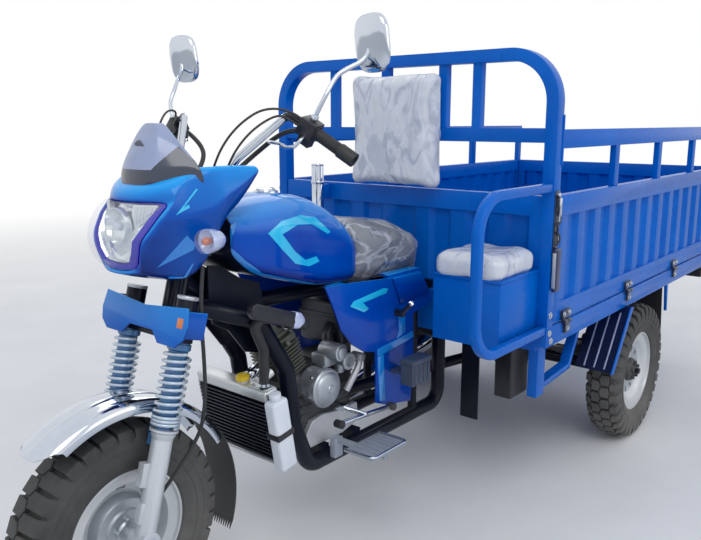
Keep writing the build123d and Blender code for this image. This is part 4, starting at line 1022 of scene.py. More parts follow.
# turn signals
for sideName, side in sides:
    toSignal = Matrix.Translation(at(side * 0.2, 0.027, 1.033)) @ Matrix.Rotation(-math.pi / 2, 4, "X")
    body = turnPart(f"signalBody_{sideName}", [(0.0, -1.018), (0.012, -1.02), (0.022, -1.032),
        (0.028, -1.05), (0.0298, -1.066), (0.0298, -1.072), (0.026, -1.072), (0.02, -1.06), (0.0, -1.052)],
        40)
    place(body, toSignal)
    finishPiece(body, "steering", "lilacPlastic", "signal_lens", ["front_turn_signals"] if side == 1 else (),
        50)
    glass = turnPart(f"signalGlass_{sideName}", [(0.0285, -1.07), (0.03, -1.074), (0.0295, -1.083),
        (0.024, -1.09), (0.012, -1.0925), (0.0, -1.093)], 40)
    place(glass, toSignal)
    finishPiece(glass, "steering", "clearShell", "signal_lens", angle=60)
    amber = turnPart(f"signalBulb_{sideName}", [(0.0, -1.084), (0.006, -1.082), (0.01, -1.074),
        (0.01, -1.066), (0.007, -1.06), (0.007, -1.053)], 24)
    place(amber, toSignal)
    finishPiece(amber, "steering", "amberLens", "signal_lens", angle=60)
    stem = addRod(f"signalStem_{sideName}", at(side * 0.14, -1.02, 1.035), at(side * 0.182, -1.024, 1.033),
        0.0105, 24, 0.009, bevel=0.001)
    finishPiece(stem, "steering", "blackRubber", "black_rubber")
print("signals ready")

# handlebar, grips, levers and mirrors
bar = softCopy("handlebar", "handlebarTube", 0)
finishPiece(bar, "steering", "chrome", "fork_silver", ["handlebar"], 50)
paintFaces(bar, "blackPlastic", lambda centre, normal: abs(centre.x) > 0.206)
controls = softCopy("hand_controls", "handControls", 0.002, 2)
finishPiece(controls, "steering", "blackPlastic", "black_plastic", ["hand_controls"], 35)
paintFaces(controls, "blackRubber", lambda centre, normal: abs(centre.x) > 0.292)
paintFaces(controls, "chrome", lambda centre, normal: centre.y < bedY(-0.78) and centre.z < 1.277)
for sideName, side in sides:
    parts = []
    for index in range(14):
        parts.append(addRing(0.0157, 0.0009, 0.046 + index * 0.005, 32, 6))
    parts.append(addRod("gripFlange", (0.112, 0, 0), (0.116, 0, 0), 0.021, 32, bevel=0.001))
    ribs = joinAll(parts, f"gripRibs_{sideName}")
    place(ribs, gripFrame)
    if side < 0:
        plain = ribs
        ribs = mirrorCopy(plain, f"gripRibs_{sideName}")
        bpy.data.objects.remove(plain)
    finishPiece(ribs, "steering", "blackRubber", "black_rubber")

mirror = {"middle": (0.378, -0.648, 1.508), "half": (0.056, 0.074), "lean": (0.1, 1, 0.14), "corner": 3.0}
mirrorZ = Vector(mirror["lean"]).normalized()
mirrorX = (Vector((1, 0, 0)) - mirrorZ * mirrorZ.x).normalized()
mirrorY = mirrorZ.cross(mirrorX)
mirrorFrame = Matrix.Translation(at(mirror["middle"][0], mirror["middle"][1], mirror["middle"][2]))
mirrorFrame = mirrorFrame @ Matrix((mirrorX, mirrorY, mirrorZ)).transposed().to_4x4()


def mirrorOutline(scale):
    points = []
    for index in range(48):
        angle = 2 * math.pi * index / 48
        c, s = math.cos(angle), math.sin(angle)
        power = 2 / mirror["corner"]
        points.append((scale * mirror["half"][0] * math.copysign(abs(c) ** power, c),
            scale * mirror["half"][1] * math.copysign(abs(s) ** power, s)))
    return points


for sideName, side in sides:
    head = drawChain(f"mirrorHead_{sideName}", [(x, y, 0.02) for x, y in mirrorOutline(0.985)])
    startFilled(head)
    for depth, size in ((-0.006, 1.015), (-0.006, 0.99), (-0.005, 0.93), (-0.004, 0.8), (-0.002, 0.6),
            (-0.001, 0.5)):
        extrudeFaces((0, 0, depth))
        bpy.ops.transform.resize(value=(size, size, 1), center_override=(0, 0, 0))
    pick(head, lambda centre, normal: centre.z > 0.0195)
    bpy.ops.mesh.inset(thickness=0.005)
    extrudeFaces((0, 0, -0.003))
    faceOutwards()
    endEdit()
    place(head, mirrorFrame)
    foot = gripFrame @ Vector((0.14, 0, 0.023))
    rise = gripFrame @ Vector((0.14, 0, 0.075))
    stalk = toMesh(addTube("mirrorStalk", [foot, rise, at(0.322, -0.716, 1.42), at(0.336, -0.698, 1.44),
        at(0.376, -0.646, 1.47), at(0.378, -0.644, 1.5)], 0.006))
    boss = addRod("mirrorBoss", foot, foot + gripZ * 0.016, 0.011, 6, bevel=0.001)
    mirrorPiece = joinAll([head, stalk, boss], f"mirror_{sideName}")
    if side < 0:
        plain = mirrorPiece
        mirrorPiece = mirrorCopy(plain, "mirror_right")
        bpy.data.objects.remove(plain)
    finishPiece(mirrorPiece, "steering", "chrome", "chrome", ["mirrors"] if side == 1 else (), 40)
print("handlebar and mirrors ready")

# patches on a surface: a thin skin over the source, cut to an outline
# the outline is drawn in (offset from the bed front, height)


def prism(name, outline, low, high):  # an upright outline given its width along X
    made = drawChain(name, [at(low, y, z) for y, z in outline])
    startEdit(made, "VERT")
    bpy.ops.mesh.edge_face_add()
    bpy.ops.mesh.select_all(action="SELECT")
    extrudeFaces((high - low, 0, 0))
    bpy.ops.mesh.select_all(action="SELECT")
    bpy.ops.mesh.quads_convert_to_tris()
    bpy.ops.mesh.normals_make_consistent(inside=False)
    endEdit()
    return made


def keepInside(obj, cutter, operation="INTERSECT"):
    addModifier(obj, "BOOLEAN", object=cutter, operation=operation, solver="EXACT")
    bpy.data.objects.remove(cutter)
    return obj


def raisedPatch(name, source, outline, low, high, lift):
    skin = copyOf(source, name)
    cutter = prism("cutter", outline, low, high)
    addModifier(skin, "SOLIDIFY", thickness=lift * 2, offset=0)
    return keepInside(skin, cutter)


def bothPatches(name, source, outline, low, high, lift, look, slotName, body="chassis"):
    left = raisedPatch(f"{name}_left", source, outline, low, high, lift)
    right = mirrorCopy(left, f"{name}_right")
    for patch in (left, right):
        finishPiece(patch, body, look, slotName, angle=50)


# fuel tank
tank = {"rings": [(-0.902, 0.122, 0.974, 1.076), (-0.898, 0.127, 0.964, 1.08), (-0.88, 0.133, 0.946, 1.087),
    (-0.85, 0.14, 0.922, 1.095), (-0.815, 0.146, 0.901, 1.103), (-0.76, 0.151, 0.882, 1.11),
    (-0.7, 0.154, 0.866, 1.115), (-0.64, 0.154, 0.848, 1.112), (-0.58, 0.152, 0.833, 1.103),
    (-0.52, 0.15, 0.825, 1.082), (-0.48, 0.148, 0.821, 1.058), (-0.44, 0.144, 0.82, 1.03),
    (-0.4, 0.135, 0.822, 0.994), (-0.366, 0.114, 0.829, 0.958)], "shoulder": 2.7, "lower": 7.0, "steps": 18}


def tankRing(offset, half, low, high):
    middle, rise = (low + high) / 2, (high - low) / 2
    ring = []
    for index in range(tank["steps"] + 1):
        angle = math.pi / 2 - math.pi * index / tank["steps"]
        c, s = math.cos(angle), math.sin(angle)
        power = 2 / tank["shoulder" if s > 0 else "lower"]
        x = half * abs(c) ** power
        z = middle + rise * math.copysign(abs(s) ** power, s)
        ring.append((0 if index in (0, tank["steps"]) else x, bedY(offset), z))
    return ring


tankBody = drawLoft("fuelTank", [tankRing(*sizes) for sizes in tank["rings"]])
startEdit(tankBody, "EDGE")
bpy.ops.mesh.select_all(action="DESELECT")
endEdit()
for edge in tankBody.data.edges:
    a, b = (tankBody.data.vertices[index].co for index in edge.vertices)
    edge.select = max(a.y, b.y) < bedY(-0.9019) or min(a.y, b.y) > bedY(-0.3661)
bpy.ops.object.mode_set(mode="EDIT")
bpy.ops.mesh.extrude_edges_move(TRANSFORM_OT_translate={"value": (0, 0, 0)})
bpy.ops.transform.resize(value=(0, 1, 1), center_override=(0, 0, 0))
endEdit()
tidyFaces(tankBody)
addModifier(tankBody, "MIRROR", use_clip=True)
tidyFaces(tankBody, at(0, -0.63, 0.97))
addModifier(tankBody, "SUBSURF", levels=2, render_levels=2)
steerHole = addRod("steerHole", steerFrame @ Vector((0, 0, 0.69)), steerFrame @ Vector((0, 0, 0.9)), 0.0765,
    64)
keepInside(tankBody, steerHole, "DIFFERENCE")
finishPiece(tankBody, "chassis", "tankBlue", "tank_paint", ["fuel_tank"], 45)
# painted shade: the tank's lower front slope is painted black where it lies in shadow
paintFaces(tankBody, "frameBlack",
    lambda centre, normal: centre.y < bedY(-0.8) and abs(centre.x) < 0.121 and normal.y < -0.35)
stripeOuter = [(-0.535, 0.993), (-0.594, 1.042), (-0.657, 1.055), (-0.737, 1.046), (-0.79, 1.018),
    (-0.739, 0.965), (-0.692, 0.921), (-0.635, 0.905), (-0.59, 0.913)]
stripeInner = [(-0.604, 0.93), (-0.651, 0.926), (-0.692, 0.955), (-0.74, 1.01), (-0.678, 1.03),
    (-0.616, 1.025), (-0.551, 0.99)]
bothPatches("tankStripe", tankBody, stripeOuter + stripeInner, 0.05, 0.2, 0.0006, "cyanDecal", "tank_paint")
# painted highlight: a thin sky-blue skin along the tank's front and lower lip stands for light caught on
# that edge
lipOuter = [(-0.886, 1.082), (-0.916, 1.02), (-0.918, 0.98), (-0.874, 0.938), (-0.812, 0.893),
    (-0.724, 0.868), (-0.586, 0.828), (-0.432, 0.818)]
lipInner = [(-0.432, 0.832), (-0.582, 0.842), (-0.718, 0.882), (-0.803, 0.908), (-0.862, 0.951),
    (-0.901, 0.989), (-0.9, 1.02), (-0.874, 1.074)]
bothPatches("tankLip", tankBody, lipOuter + lipInner, 0.122, 0.2, 0.002, "skyBlue", "tank_paint")
cap = turnPart("tankCap", [(0, 0.013), (0.02, 0.0125), (0.027, 0.01), (0.03, 0.004), (0.036, 0.003),
    (0.038, -0.004), (0.0, -0.004)], 48)
place(cap, Matrix.Translation(at(0, -0.655, 1.112)))
finishPiece(cap, "chassis", "chrome", "chrome", angle=30)
print("fuel tank ready")

# soft goods: a pad swells in a cloth simulation, and a film lies loosely over it


def swellPad(nodeName, name, shrink, voxel, cap, pressure=4.0):
    pad = copyOf(nodes[nodeName], name)
    pad.parent = None
    pad.matrix_world = Matrix.Identity(4)
    startEdit(pad, "VERT")
    bpy.ops.mesh.remove_doubles(threshold=0.00002)
    endEdit()
    low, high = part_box(nodeName)
    middle = (Vector(low) + Vector(high)) / 2
    size = Vector(high) - Vector(low)
    scale = Matrix.Diagonal([1 - 2 * shrink / side for side in size]).to_4x4()
    pad.data.transform(Matrix.Translation(middle) @ scale @ Matrix.Translation(-middle))
    addModifier(pad, "REMESH", mode="VOXEL", voxel_size=voxel)
    addModifier(pad, "SMOOTH", factor=0.5, iterations=4)
    start = [vertex.co.copy() for vertex in pad.data.vertices]
    makeActive(pad)
    cloth = pad.modifiers.new("cloth", "CLOTH")
    cloth.settings.use_pressure = True
    cloth.settings.uniform_pressure_force = pressure
    cloth.settings.effector_weights.gravity = 0
    cloth.point_cache.frame_start = 1
    cloth.point_cache.frame_end = 20
    for step in range(1, 21):
        scene.frame_set(step)
    bpy.ops.object.modifier_apply(modifier=cloth.name)
    scene.frame_set(1)
    for vertex, before in zip(pad.data.vertices, start):
        move = vertex.co - before
        if move.length > cap:
            vertex.co = before + move * (cap / move.length)
    addModifier(pad, "SMOOTH", factor=0.5, iterations=6)
    addModifier(pad, "SUBSURF", levels=1, render_levels=1)
    return pad


def crinkle(obj, look, seed):  # raises sharp creases along one direction, as in thin film
    shift = Vector((seed * 3.7, seed * 1.9, seed * 5.3))
    for vertex, normal in [(vertex, vertex.normal.copy()) for vertex in obj.data.vertices]:
        spot = Vector([c * s for c, s in zip(vertex.co, look["stretch"])]) + shift
        ridge = noise.ridged_multi_fractal(spot, 0.9, 2.1, 4, 1.0, 2.0)
        broad = noise.noise(vertex.co * look["broadScale"] + shift)
        vertex.co += normal * (look["lift"] + look["fold"] * (ridge - 0.9) + look["sag"] * broad)
    return obj


seatLook = {"stretch": (7.0, 4.0, 9.0), "lift": 0.0035, "fold": 0.0032, "sag": 0.004, "broadScale": 9.0}
seat = swellPad("rider_seat", "riderSeat", 0.008, 0.005, 0.012)
finishPiece(seat, "chassis", "seatVinyl", "seat_vinyl", ["rider_seat"], 60)
seatWrap = crinkle(copyOf(seat, "seatWrap"), seatLook, 3)
finishPiece(seatWrap, "chassis", "clearFilm", "wrapped_cushion", angle=40)
print("rider seat ready")

# side panels
panels = softCopy("side_panels", "sidePanels", 0.0018, 3)
finishPiece(panels, "chassis", "panelBlue", "fairing_plastic", ["side_panels"], 40)
arrow = [(-0.497, 0.765), (-0.48, 0.778), (-0.332, 0.793), (-0.306, 0.788), (-0.318, 0.774), (-0.436, 0.765),
    (-0.405, 0.74), (-0.431, 0.734)]
panelParts = {
    "panelArrow": (arrow, 0.1916, 0.1928, "cyanDecal"),
    "panelShoulder": ([
        (-0.288, 0.818), (-0.128, 0.814), (-0.075, 0.74), (-0.245, 0.728)], 0.191, 0.199, "panelBlue"),
    # the lower step is only painted: the sky-blue step, shelf and edge strips are painted highlights on its
    # lit faces
    "panelStep": ([
        (-0.25, 0.69), (-0.214, 0.7), (-0.208, 0.622), (-0.258, 0.606), (-0.244, 0.64)],
        0.191, 0.1935, "skyBlue"),
    "panelShelf": ([
        (-0.362, 0.598), (-0.17, 0.618), (-0.166, 0.596), (-0.362, 0.574)], 0.191, 0.198, "skyBlue"),
    "panelEdge": ([
        (-0.362, 0.572), (-0.332, 0.574), (-0.32, 0.412), (-0.35, 0.418)], 0.191, 0.196, "skyBlue")}
for partName, (outline, low, high, look) in panelParts.items():
    part = prism(f"{partName}_left", outline, low, high)
    roundEdges(part, min(0.0015, (high - low) * 0.3), 2)
    for piece in (part, mirrorCopy(part, f"{partName}_right")):
        finishPiece(piece, "chassis", look, "fairing_plastic", angle=40)
print("side panels ready")

# engine: case, side covers, finned barrel, head, starter, intake and bolts
engineLook = {"fins": 9, "finGap": 0.0125, "lean": -0.35, "boltRadius": 0.0052}
barrelTurn = math.atan2(-engineLook["lean"], 1)
barrelFrame = Matrix.Translation(at(0, -0.6, 0.54)) @ Matrix.Rotation(barrelTurn, 4, "X")
case = addBlock("engineCase", at(-0.112, -0.622, 0.306), at(0.078, -0.334, 0.556), 0.045, 5)
sump = addBlock("engineSump", at(-0.058, -0.556, 0.302), at(0.058, -0.354, 0.34), 0.008)
ribs = []
for index in range(6):
    z = 0.35 + 0.03 * index
    ribs.append(addBlock("caseRib", at(-0.116, -0.6, z), at(0.08, -0.35, z + 0.005), 0.0015))
rearCase = addBlock("gearCase", at(-0.07, -0.47, 0.42), at(0.07, -0.328, 0.575), 0.03, 4)
caseAll = joinAll([case, sump, rearCase] + ribs, "engineCase")
finishPiece(caseAll, "chassis", "caseAlloy", "engine_alloy", ["engine"])
skid = prism("crankcasePlate", [(-0.565, 0.392), (-0.52, 0.4), (-0.42, 0.388), (-0.345, 0.392),
    (-0.34, 0.325), (-0.42, 0.306), (-0.59, 0.306), (-0.6, 0.345)], 0.076, 0.096)
roundEdges(skid, 0.006, 3)
finishPiece(skid, "chassis", "paleAlloy", "engine_alloy")


def boltRing(name, centre, radius, count, start=0.0):
    bolts = []
    for index in range(count):
        angle = start + 2 * math.pi * index / count
        spot = (centre[0], centre[1] + radius * math.cos(angle), centre[2] + radius * math.sin(angle))
        end = (centre[0] + math.copysign(0.006, centre[0]), spot[1], spot[2])
        bolts.append(addRod("bolt", spot, end, engineLook["boltRadius"], 6, bevel=0.0008))
    return joinAll(bolts, name)


magneto = turnPart("magnetoCover",
    [(0.0, 0.158), (0.012, 0.158), (0.014, 0.155), (0.044, 0.153), (0.05, 0.149), (0.053, 0.143),
    (0.0575, 0.142), (0.062, 0.137), (0.062, 0.118), (0.056, 0.108), (0.056, 0.07), (0, 0.07)], 64)
place(magneto, Matrix.Translation(at(0, -0.545, 0.505)) @ Matrix.Rotation(math.pi / 2, 4, "Y"))
finishPiece(magneto, "chassis", "castAlloy", "engine_alloy")
finishPiece(boltRing("magnetoBolts", at(0.112, -0.545, 0.505), 0.0605, 6, 0.3), "chassis", "chrome",
    "chrome")
clutch = turnPart("clutchCover", [(0.0, 0.156), (0.03, 0.156), (0.034, 0.152), (0.066, 0.148),
    (0.078, 0.138), (0.084, 0.128), (0.084, 0.1), (0, 0.1)], 64)
place(clutch, Matrix.Translation(at(0, -0.52, 0.47)) @ Matrix.Rotation(-math.pi / 2, 4, "Y"))
finishPiece(clutch, "chassis", "castAlloy", "engine_alloy")
finishPiece(boltRing("clutchBolts", at(-0.128, -0.52, 0.47), 0.078, 8), "chassis", "chrome", "chrome")
fins = [addBlock("barrelCore", (-0.046, -0.046, -0.03), (0.046, 0.046, 0.1), 0.012, 3)]
for index in range(engineLook["fins"]):
    z = 0.006 + engineLook["finGap"] * index
    fins.append(addBlock("barrelFin", (-0.058, -0.056, z), (0.058, 0.056, z + 0.0042), 0.0016))
fins.append(addBlock("cylinderHead", (-0.054, -0.052, 0.112), (0.054, 0.052, 0.138), 0.006, 3))
fins.append(addBlock("headCover", (-0.04, -0.042, 0.134), (0.04, 0.042, 0.152), 0.008, 3))
for x, y in ((-0.044, -0.042), (0.044, -0.042), (-0.044, 0.042), (0.044, 0.042)):
    fins.append(addRod("headNut", (x, y, 0.136), (x, y, 0.146), 0.007, 6, bevel=0.001))
fins.append(addRod("sparkPlug", (0.05, 0, 0.12), (0.072, 0, 0.128), 0.008, 6, bevel=0.001))
barrel = joinAll(fins, "engineBarrel")
place(barrel, barrelFrame)
finishPiece(barrel, "chassis", "oliveAlloy", "engine_alloy")
starter = [addRod("starterBody", at(0.056, -0.47, 0.6), at(0.136, -0.47, 0.6), 0.029, 40, bevel=0.005),
    addRod("starterCap", at(0.132, -0.47, 0.6), at(0.142, -0.47, 0.6), 0.021, 40, bevel=0.003),
    addBlock("starterFoot", at(0.03, -0.5, 0.545), at(0.09, -0.442, 0.59), 0.006)]
finishParts(starter, "starterMotor", "chassis", "castAlloy", "engine_alloy")
intake = turnPart("intakeRing", [(0.018, 0.0), (0.027, 0.0), (0.029, 0.004), (0.029, 0.01), (0.026, 0.014),
    (0.018, 0.014)], 48, closed=True)
place(intake, Matrix.Translation(at(0.118, -0.425, 0.56)) @ Matrix.Rotation(math.pi / 2, 4, "Y"))
finishPiece(intake, "chassis", "paleAlloy", "engine_alloy")
carburettor = [addRod("carbBody", at(0.05, -0.425, 0.56), at(0.12, -0.425, 0.56), 0.021, 32, bevel=0.002),
    addRod("carbBowl", at(0.085, -0.425, 0.515), at(0.085, -0.425, 0.56), 0.017, 32, bevel=0.003)]
finishParts(carburettor, "carburettor", "chassis", "castAlloy", "engine_alloy")
linkage = toMesh(addTube("gearLinkage", [at(0.11, -0.375, 0.56), at(0.128, -0.372, 0.552),
    at(0.132, -0.385, 0.53), at(0.128, -0.415, 0.492), at(0.12, -0.43, 0.462)], 0.011))
knuckle = addRod("linkKnuckle", at(0.098, -0.372, 0.562), at(0.142, -0.372, 0.562), 0.015, 32, bevel=0.004)
finishParts([linkage, knuckle], "gearLinkage", "chassis", "paleAlloy", "engine_alloy")
print("engine ready")

# radiator with its grille, tank, cap and elbow
radiatorLook = {"slats": 15, "pitch": 0.0122, "half": 0.146, "lean": 10.0}
lean = Matrix.Translation(at(0, -0.795, 0.575)) @ Matrix.Rotation(math.radians(radiatorLook["lean"]), 4, "X")
lean = lean @ Matrix.Translation((0, -bedY(-0.795), -0.575))
coreParts = [addBlock("radiatorCore", at(-0.146, -0.806, 0.35), at(0.146, -0.778, 0.54), 0.002)]
for index in range(28):
    x = -0.138 + 0.0102 * index
    coreParts.append(addRod("coreTube", at(x, -0.808, 0.352), at(x, -0.808, 0.538), 0.0022, 8))
finishPiece(place(joinAll(coreParts, "radiatorCore"), lean), "chassis", "blackPlastic", "radiator_alloy",
    ["radiator"])
slats = []
for index in range(radiatorLook["slats"]):
    slat = addBlock("grilleSlat", (-0.146, -0.0065, -0.0016), (0.146, 0.0065, 0.0016), 0.0008)
    place(slat, Matrix.Translation(at(0, -0.815,
        0.357 + radiatorLook["pitch"] * index)) @ Matrix.Rotation(math.radians(-28), 4, "X"))
    slats.append(slat)
finishPiece(place(joinAll(slats, "radiatorGrille"), lean), "chassis", "slatGrey", "radiator_alloy")
frameParts = [addBlock("radiatorTop", at(-0.151, -0.82, 0.54), at(0.151, -0.77, 0.575), 0.008, 3),
    addBlock("radiatorFoot", at(-0.151, -0.818, 0.338), at(0.151, -0.772, 0.35), 0.003)]
for side in (1, -1):
    frameParts.append(addBlock("radiatorSide", at(side * 0.151, -0.818, 0.345),
        at(side * 0.146, -0.772, 0.545), 0.0015))
finishPiece(place(joinAll(frameParts, "radiatorTanks"), lean), "chassis", "radiatorAlloy", "radiator_alloy")
mounts = []
for side in (1, -1):
    low, high = sorted((side * 0.087, side * 0.109))
    mounts.append(addBlock("radiatorMount", at(low, -0.757, 0.431), at(high, -0.678, 0.445), 0.002))
finishParts(mounts, "radiatorMounts", "chassis", "frameBlack", "black_paint")
radiatorCap = turnPart("radiatorCap",
    [(0, 0.02), (0.014, 0.02), (0.019, 0.017), (0.021, 0.012), (0.021, 0.004), (0.014, 0.0), (0, 0.0)], 12)
place(radiatorCap, Matrix.Translation(at(0.035, -0.795, 0.577)))
finishPiece(place(radiatorCap, lean), "chassis", "capYellow", "radiator_alloy")
neckParts = [addRod("capNeck", at(0.035, -0.795, 0.57), at(0.035, -0.795, 0.58), 0.017, 32, bevel=0.001),
    toMesh(addTube("elbow", [at(0.13, -0.8, 0.57), at(0.13, -0.8, 0.6),
        at(0.132, -0.79, 0.612), at(0.134, -0.77, 0.616)], 0.013)),
    addBlock("neckPlate", at(0.08, -0.812, 0.573), at(0.15, -0.78, 0.58), 0.002)]
finishPiece(place(joinAll(neckParts, "radiatorNeck"), lean), "chassis", "radiatorAlloy", "radiator_alloy")

# coolant bottle and hose
bottle = [addBlock("bottleBody", at(0.169, -0.849, 0.35), at(0.211, -0.789, 0.566), 0.01, 4),
    addRod("bottleNeck", at(0.19, -0.819, 0.56), at(0.19, -0.819, 0.574), 0.014, 32, bevel=0.001),
    addRod("bottleCap", at(0.19, -0.819, 0.57), at(0.19, -0.819, 0.586), 0.017, 18, bevel=0.002)]
finishPiece(place(joinAll(bottle, "coolantBottle"), lean), "chassis", "bottlePlastic", "bottle_plastic",
    ["coolant_bottle"])
strap = addBlock("bottleStrap", at(0.167, -0.851, 0.452), at(0.213, -0.787, 0.47), 0.001)
bracket = addBlock("bottleBracket", at(0.15, -0.812, 0.545), at(0.172, -0.8, 0.565), 0.001)
finishPiece(place(joinAll([strap, bracket], "bottleStrap"), lean), "chassis", "blackPlastic",
    "black_plastic")
hose = softCopy("coolant_hose", "coolantHose", 0)
finishPiece(hose, "chassis", "blackRubber", "black_rubber", ["coolant_hose"], 60)
hoseRoll = prism("hoseSleeve", [(-0.872, 0.812), (-0.866, 0.832), (-0.85, 0.836), (-0.7, 0.782),
    (-0.69, 0.766), (-0.7, 0.742), (-0.712, 0.738), (-0.858, 0.792)], 0.138, 0.164)
roundEdges(hoseRoll, 0.011, 4)
finishPiece(hoseRoll, "chassis", "blackPlastic", "black_rubber")
hoseTip = prism("hoseTip", [(-0.704, 0.786), (-0.676, 0.776), (-0.664, 0.76), (-0.668, 0.74), (-0.69, 0.73),
    (-0.716, 0.738)], 0.136, 0.166)
roundEdges(hoseTip, 0.009, 4)
finishPiece(hoseTip, "chassis", "lilacPlastic", "engine_alloy")
clamp = turnPart("hoseClamp", [(0.015, -0.004), (0.0166, -0.004), (0.0166, 0.004), (0.015, 0.004)], 40,
    closed=True)
for index, (spot, turn) in enumerate(((at(0.13, -0.8, 0.588), 0), (at(0.06, -0.64, 0.7185), 90))):
    ring = copyOf(clamp, f"hoseClamp_{index + 1}")
    place(ring, Matrix.Translation(spot) @ Matrix.Rotation(math.radians(turn), 4, "Y"))
    finishPiece(ring, "chassis", "chrome", "chrome")
bpy.data.objects.remove(clamp)
print("cooling ready")

# exhaust, frame, footrests, foot controls, battery box, air box and tool box
exhaust = softCopy("exhaust", "exhaustPipe", 0)
finishPiece(exhaust, "chassis", "chrome", "chrome", ["exhaust"], 50)
shield = [addRod("exhaustEnd", at(-0.2495, 0.556, 0.3297), at(-0.2505, 0.566, 0.331), 0.04, 40, bevel=0.003),
    addRod("exhaustTip", at(-0.2505, 0.56, 0.33), at(-0.253, 0.59, 0.334), 0.013, 32, bevel=0.001)]
finishParts(shield, "exhaustEnd", "chassis", "castAlloy", "chrome")
mainFrame = softCopy("main_frame", "mainFrame", 0)
finishPiece(mainFrame, "chassis", "frameBlack", "black_paint", ["main_frame"], 42)
rests = []
for side in (1, -1):
    low, high = sorted((side * 0.229, side * 0.343))
    plate = addBlock("restPlate", at(low, -0.573, 0.332), at(high, -0.401, 0.338), 0.0012)
    rests.append(plate)
    for index in range(7):
        y = -0.56 + 0.0235 * index
        rests.append(addBlock("restRib", at(low + 0.01, y, 0.336), at(high - 0.01, y + 0.008, 0.3415),
            0.0012))
    rests.append(addRod("restArm", at(side * 0.126, -0.5, 0.322), at(side * 0.336, -0.5, 0.322), 0.0105, 24))
    low, high = sorted((side * 0.125, side * 0.149))
    rests.append(addBlock("restLug", at(low, -0.519, 0.264), at(high, -0.481, 0.329), 0.003))
finishParts(rests, "footrests", "chassis", "restGrey", "black_paint", ["footrests"])
for sideName, side in sides:
    edge = addTube(f"restEdge_{sideName}", [at(side * 0.232, -0.571, 0.341), at(side * 0.31, -0.571, 0.341),
        at(side * 0.341, -0.569, 0.341), at(side * 0.341, -0.54, 0.341), at(side * 0.341, -0.43, 0.341),
        at(side * 0.341, -0.403, 0.341), at(side * 0.31, -0.402, 0.341), at(side * 0.232, -0.402, 0.341)],
        0.0042)
    finishPiece(toMesh(edge), "chassis", "chrome", "chrome", angle=60)
pedals = softCopy("foot_controls", "footControls", 0)
finishPiece(pedals, "chassis", "chrome", "chrome", ["foot_controls"], 50)
paintFaces(pedals, "blackPlastic", lambda centre, normal: centre.z > 0.6 and centre.x < 0.286)
pads = []
for y, z in ((-0.59, 0.426), (-0.33, 0.404)):
    pads.append(addRod("pedalRubber", at(0.212, y, z), at(0.242, y, z), 0.0125, 24, bevel=0.003))
pads.append(addRod("brakeRubber", at(-0.246, -0.636, 0.399), at(-0.206, -0.636, 0.399), 0.013, 24,
    bevel=0.003))
finishParts(pads, "pedalRubbers", "chassis", "blackRubber", "black_rubber")
battery = [addBlock("batteryCase", at(0.251, -0.316, 0.48), at(0.302, -0.216, 0.55), 0.004, 3),
    addBlock("batteryLid", at(0.249, -0.319, 0.548), at(0.305, -0.213, 0.567), 0.005, 3),
    addBlock("batteryArm", at(0.186, -0.29, 0.501), at(0.252, -0.24, 0.511), 0.001)]
for index in range(4):
    y = -0.308 + 0.024 * index
    battery.append(addBlock("batteryRib", at(0.3, y, 0.486), at(0.3045, y + 0.008, 0.545), 0.001))
finishParts(battery, "batteryBox", "chassis", "boxGrey", "black_plastic", ["battery_box"])
airBox = [addBlock("airBox", at(-0.091, -0.424, 0.597), at(0.091, -0.206, 0.744), 0.014, 4),
    addBlock("airLid", at(-0.094, -0.427, 0.69), at(0.094, -0.203, 0.704), 0.004, 3),
    toMesh(addTube("airDuct", [at(0.04, -0.415, 0.66), at(0.052, -0.44, 0.652), at(0.06, -0.448, 0.625),
    at(0.056, -0.436, 0.59)], 0.02))]
for index in range(5):
    y = -0.395 + 0.04 * index
    airBox.append(addBlock("airRib", at(-0.094, y, 0.606), at(0.094, y + 0.006, 0.688), 0.0015))
finishParts(airBox, "airBox", "chassis", "blackPlastic", "black_plastic", ["air_box"])
toolBox = [addBlock("toolBox", at(0.277, 0.263, 0.277), at(0.351, 0.401, 0.48), 0.008, 3),
    addBlock("toolLid", at(0.275, 0.261, 0.474), at(0.353, 0.403, 0.5), 0.005, 3),
    addBlock("toolArm", at(0.301, 0.3, 0.498), at(0.369, 0.36, 0.509), 0.002),
    addBlock("toolCatch", at(0.351, 0.322, 0.462), at(0.355, 0.342, 0.492), 0.001)]
finishParts(toolBox, "toolBox", "chassis", "blackPlastic", "black_plastic", ["tool_box"])
print("frame and controls ready")

# fairing decal and painted highlights: the cyan flash is a decal, the sky-blue streak and line are painted
# highlights; columns: outline, nearest x, look
fairingDecalAndHighlights = {
    "fairingFlash": ([
        (-1.082, 1.094), (-1.046, 1.11), (-1.047, 1.118), (-1.062, 1.1105), (-1.02, 1.152),
        (-1.024, 1.154)], 0.09, "cyanDecal"),
    # painted highlights: the sky-blue streak and line are painted highlights on the fairing
    "fairingHighlightStreak": ([
        (-1.118, 0.966), (-1.052, 1.042), (-1.03, 1.018), (-1.034, 1.004)], 0.06, "skyBlue"),
    "fairingHighlightLine": ([
        (-1.085, 0.94), (-1.05, 0.936), (-1.034, 0.968), (-1.03, 0.968), (-1.044, 0.931),
        (-1.085, 0.935)], 0.06, "skyBlue")}
for name, (outline, low, look) in fairingDecalAndHighlights.items():
    bothPatches(name, shell, outline, low, 0.2, 0.0008, look, "fairing_plastic", "steering")
print("fairing decals ready")

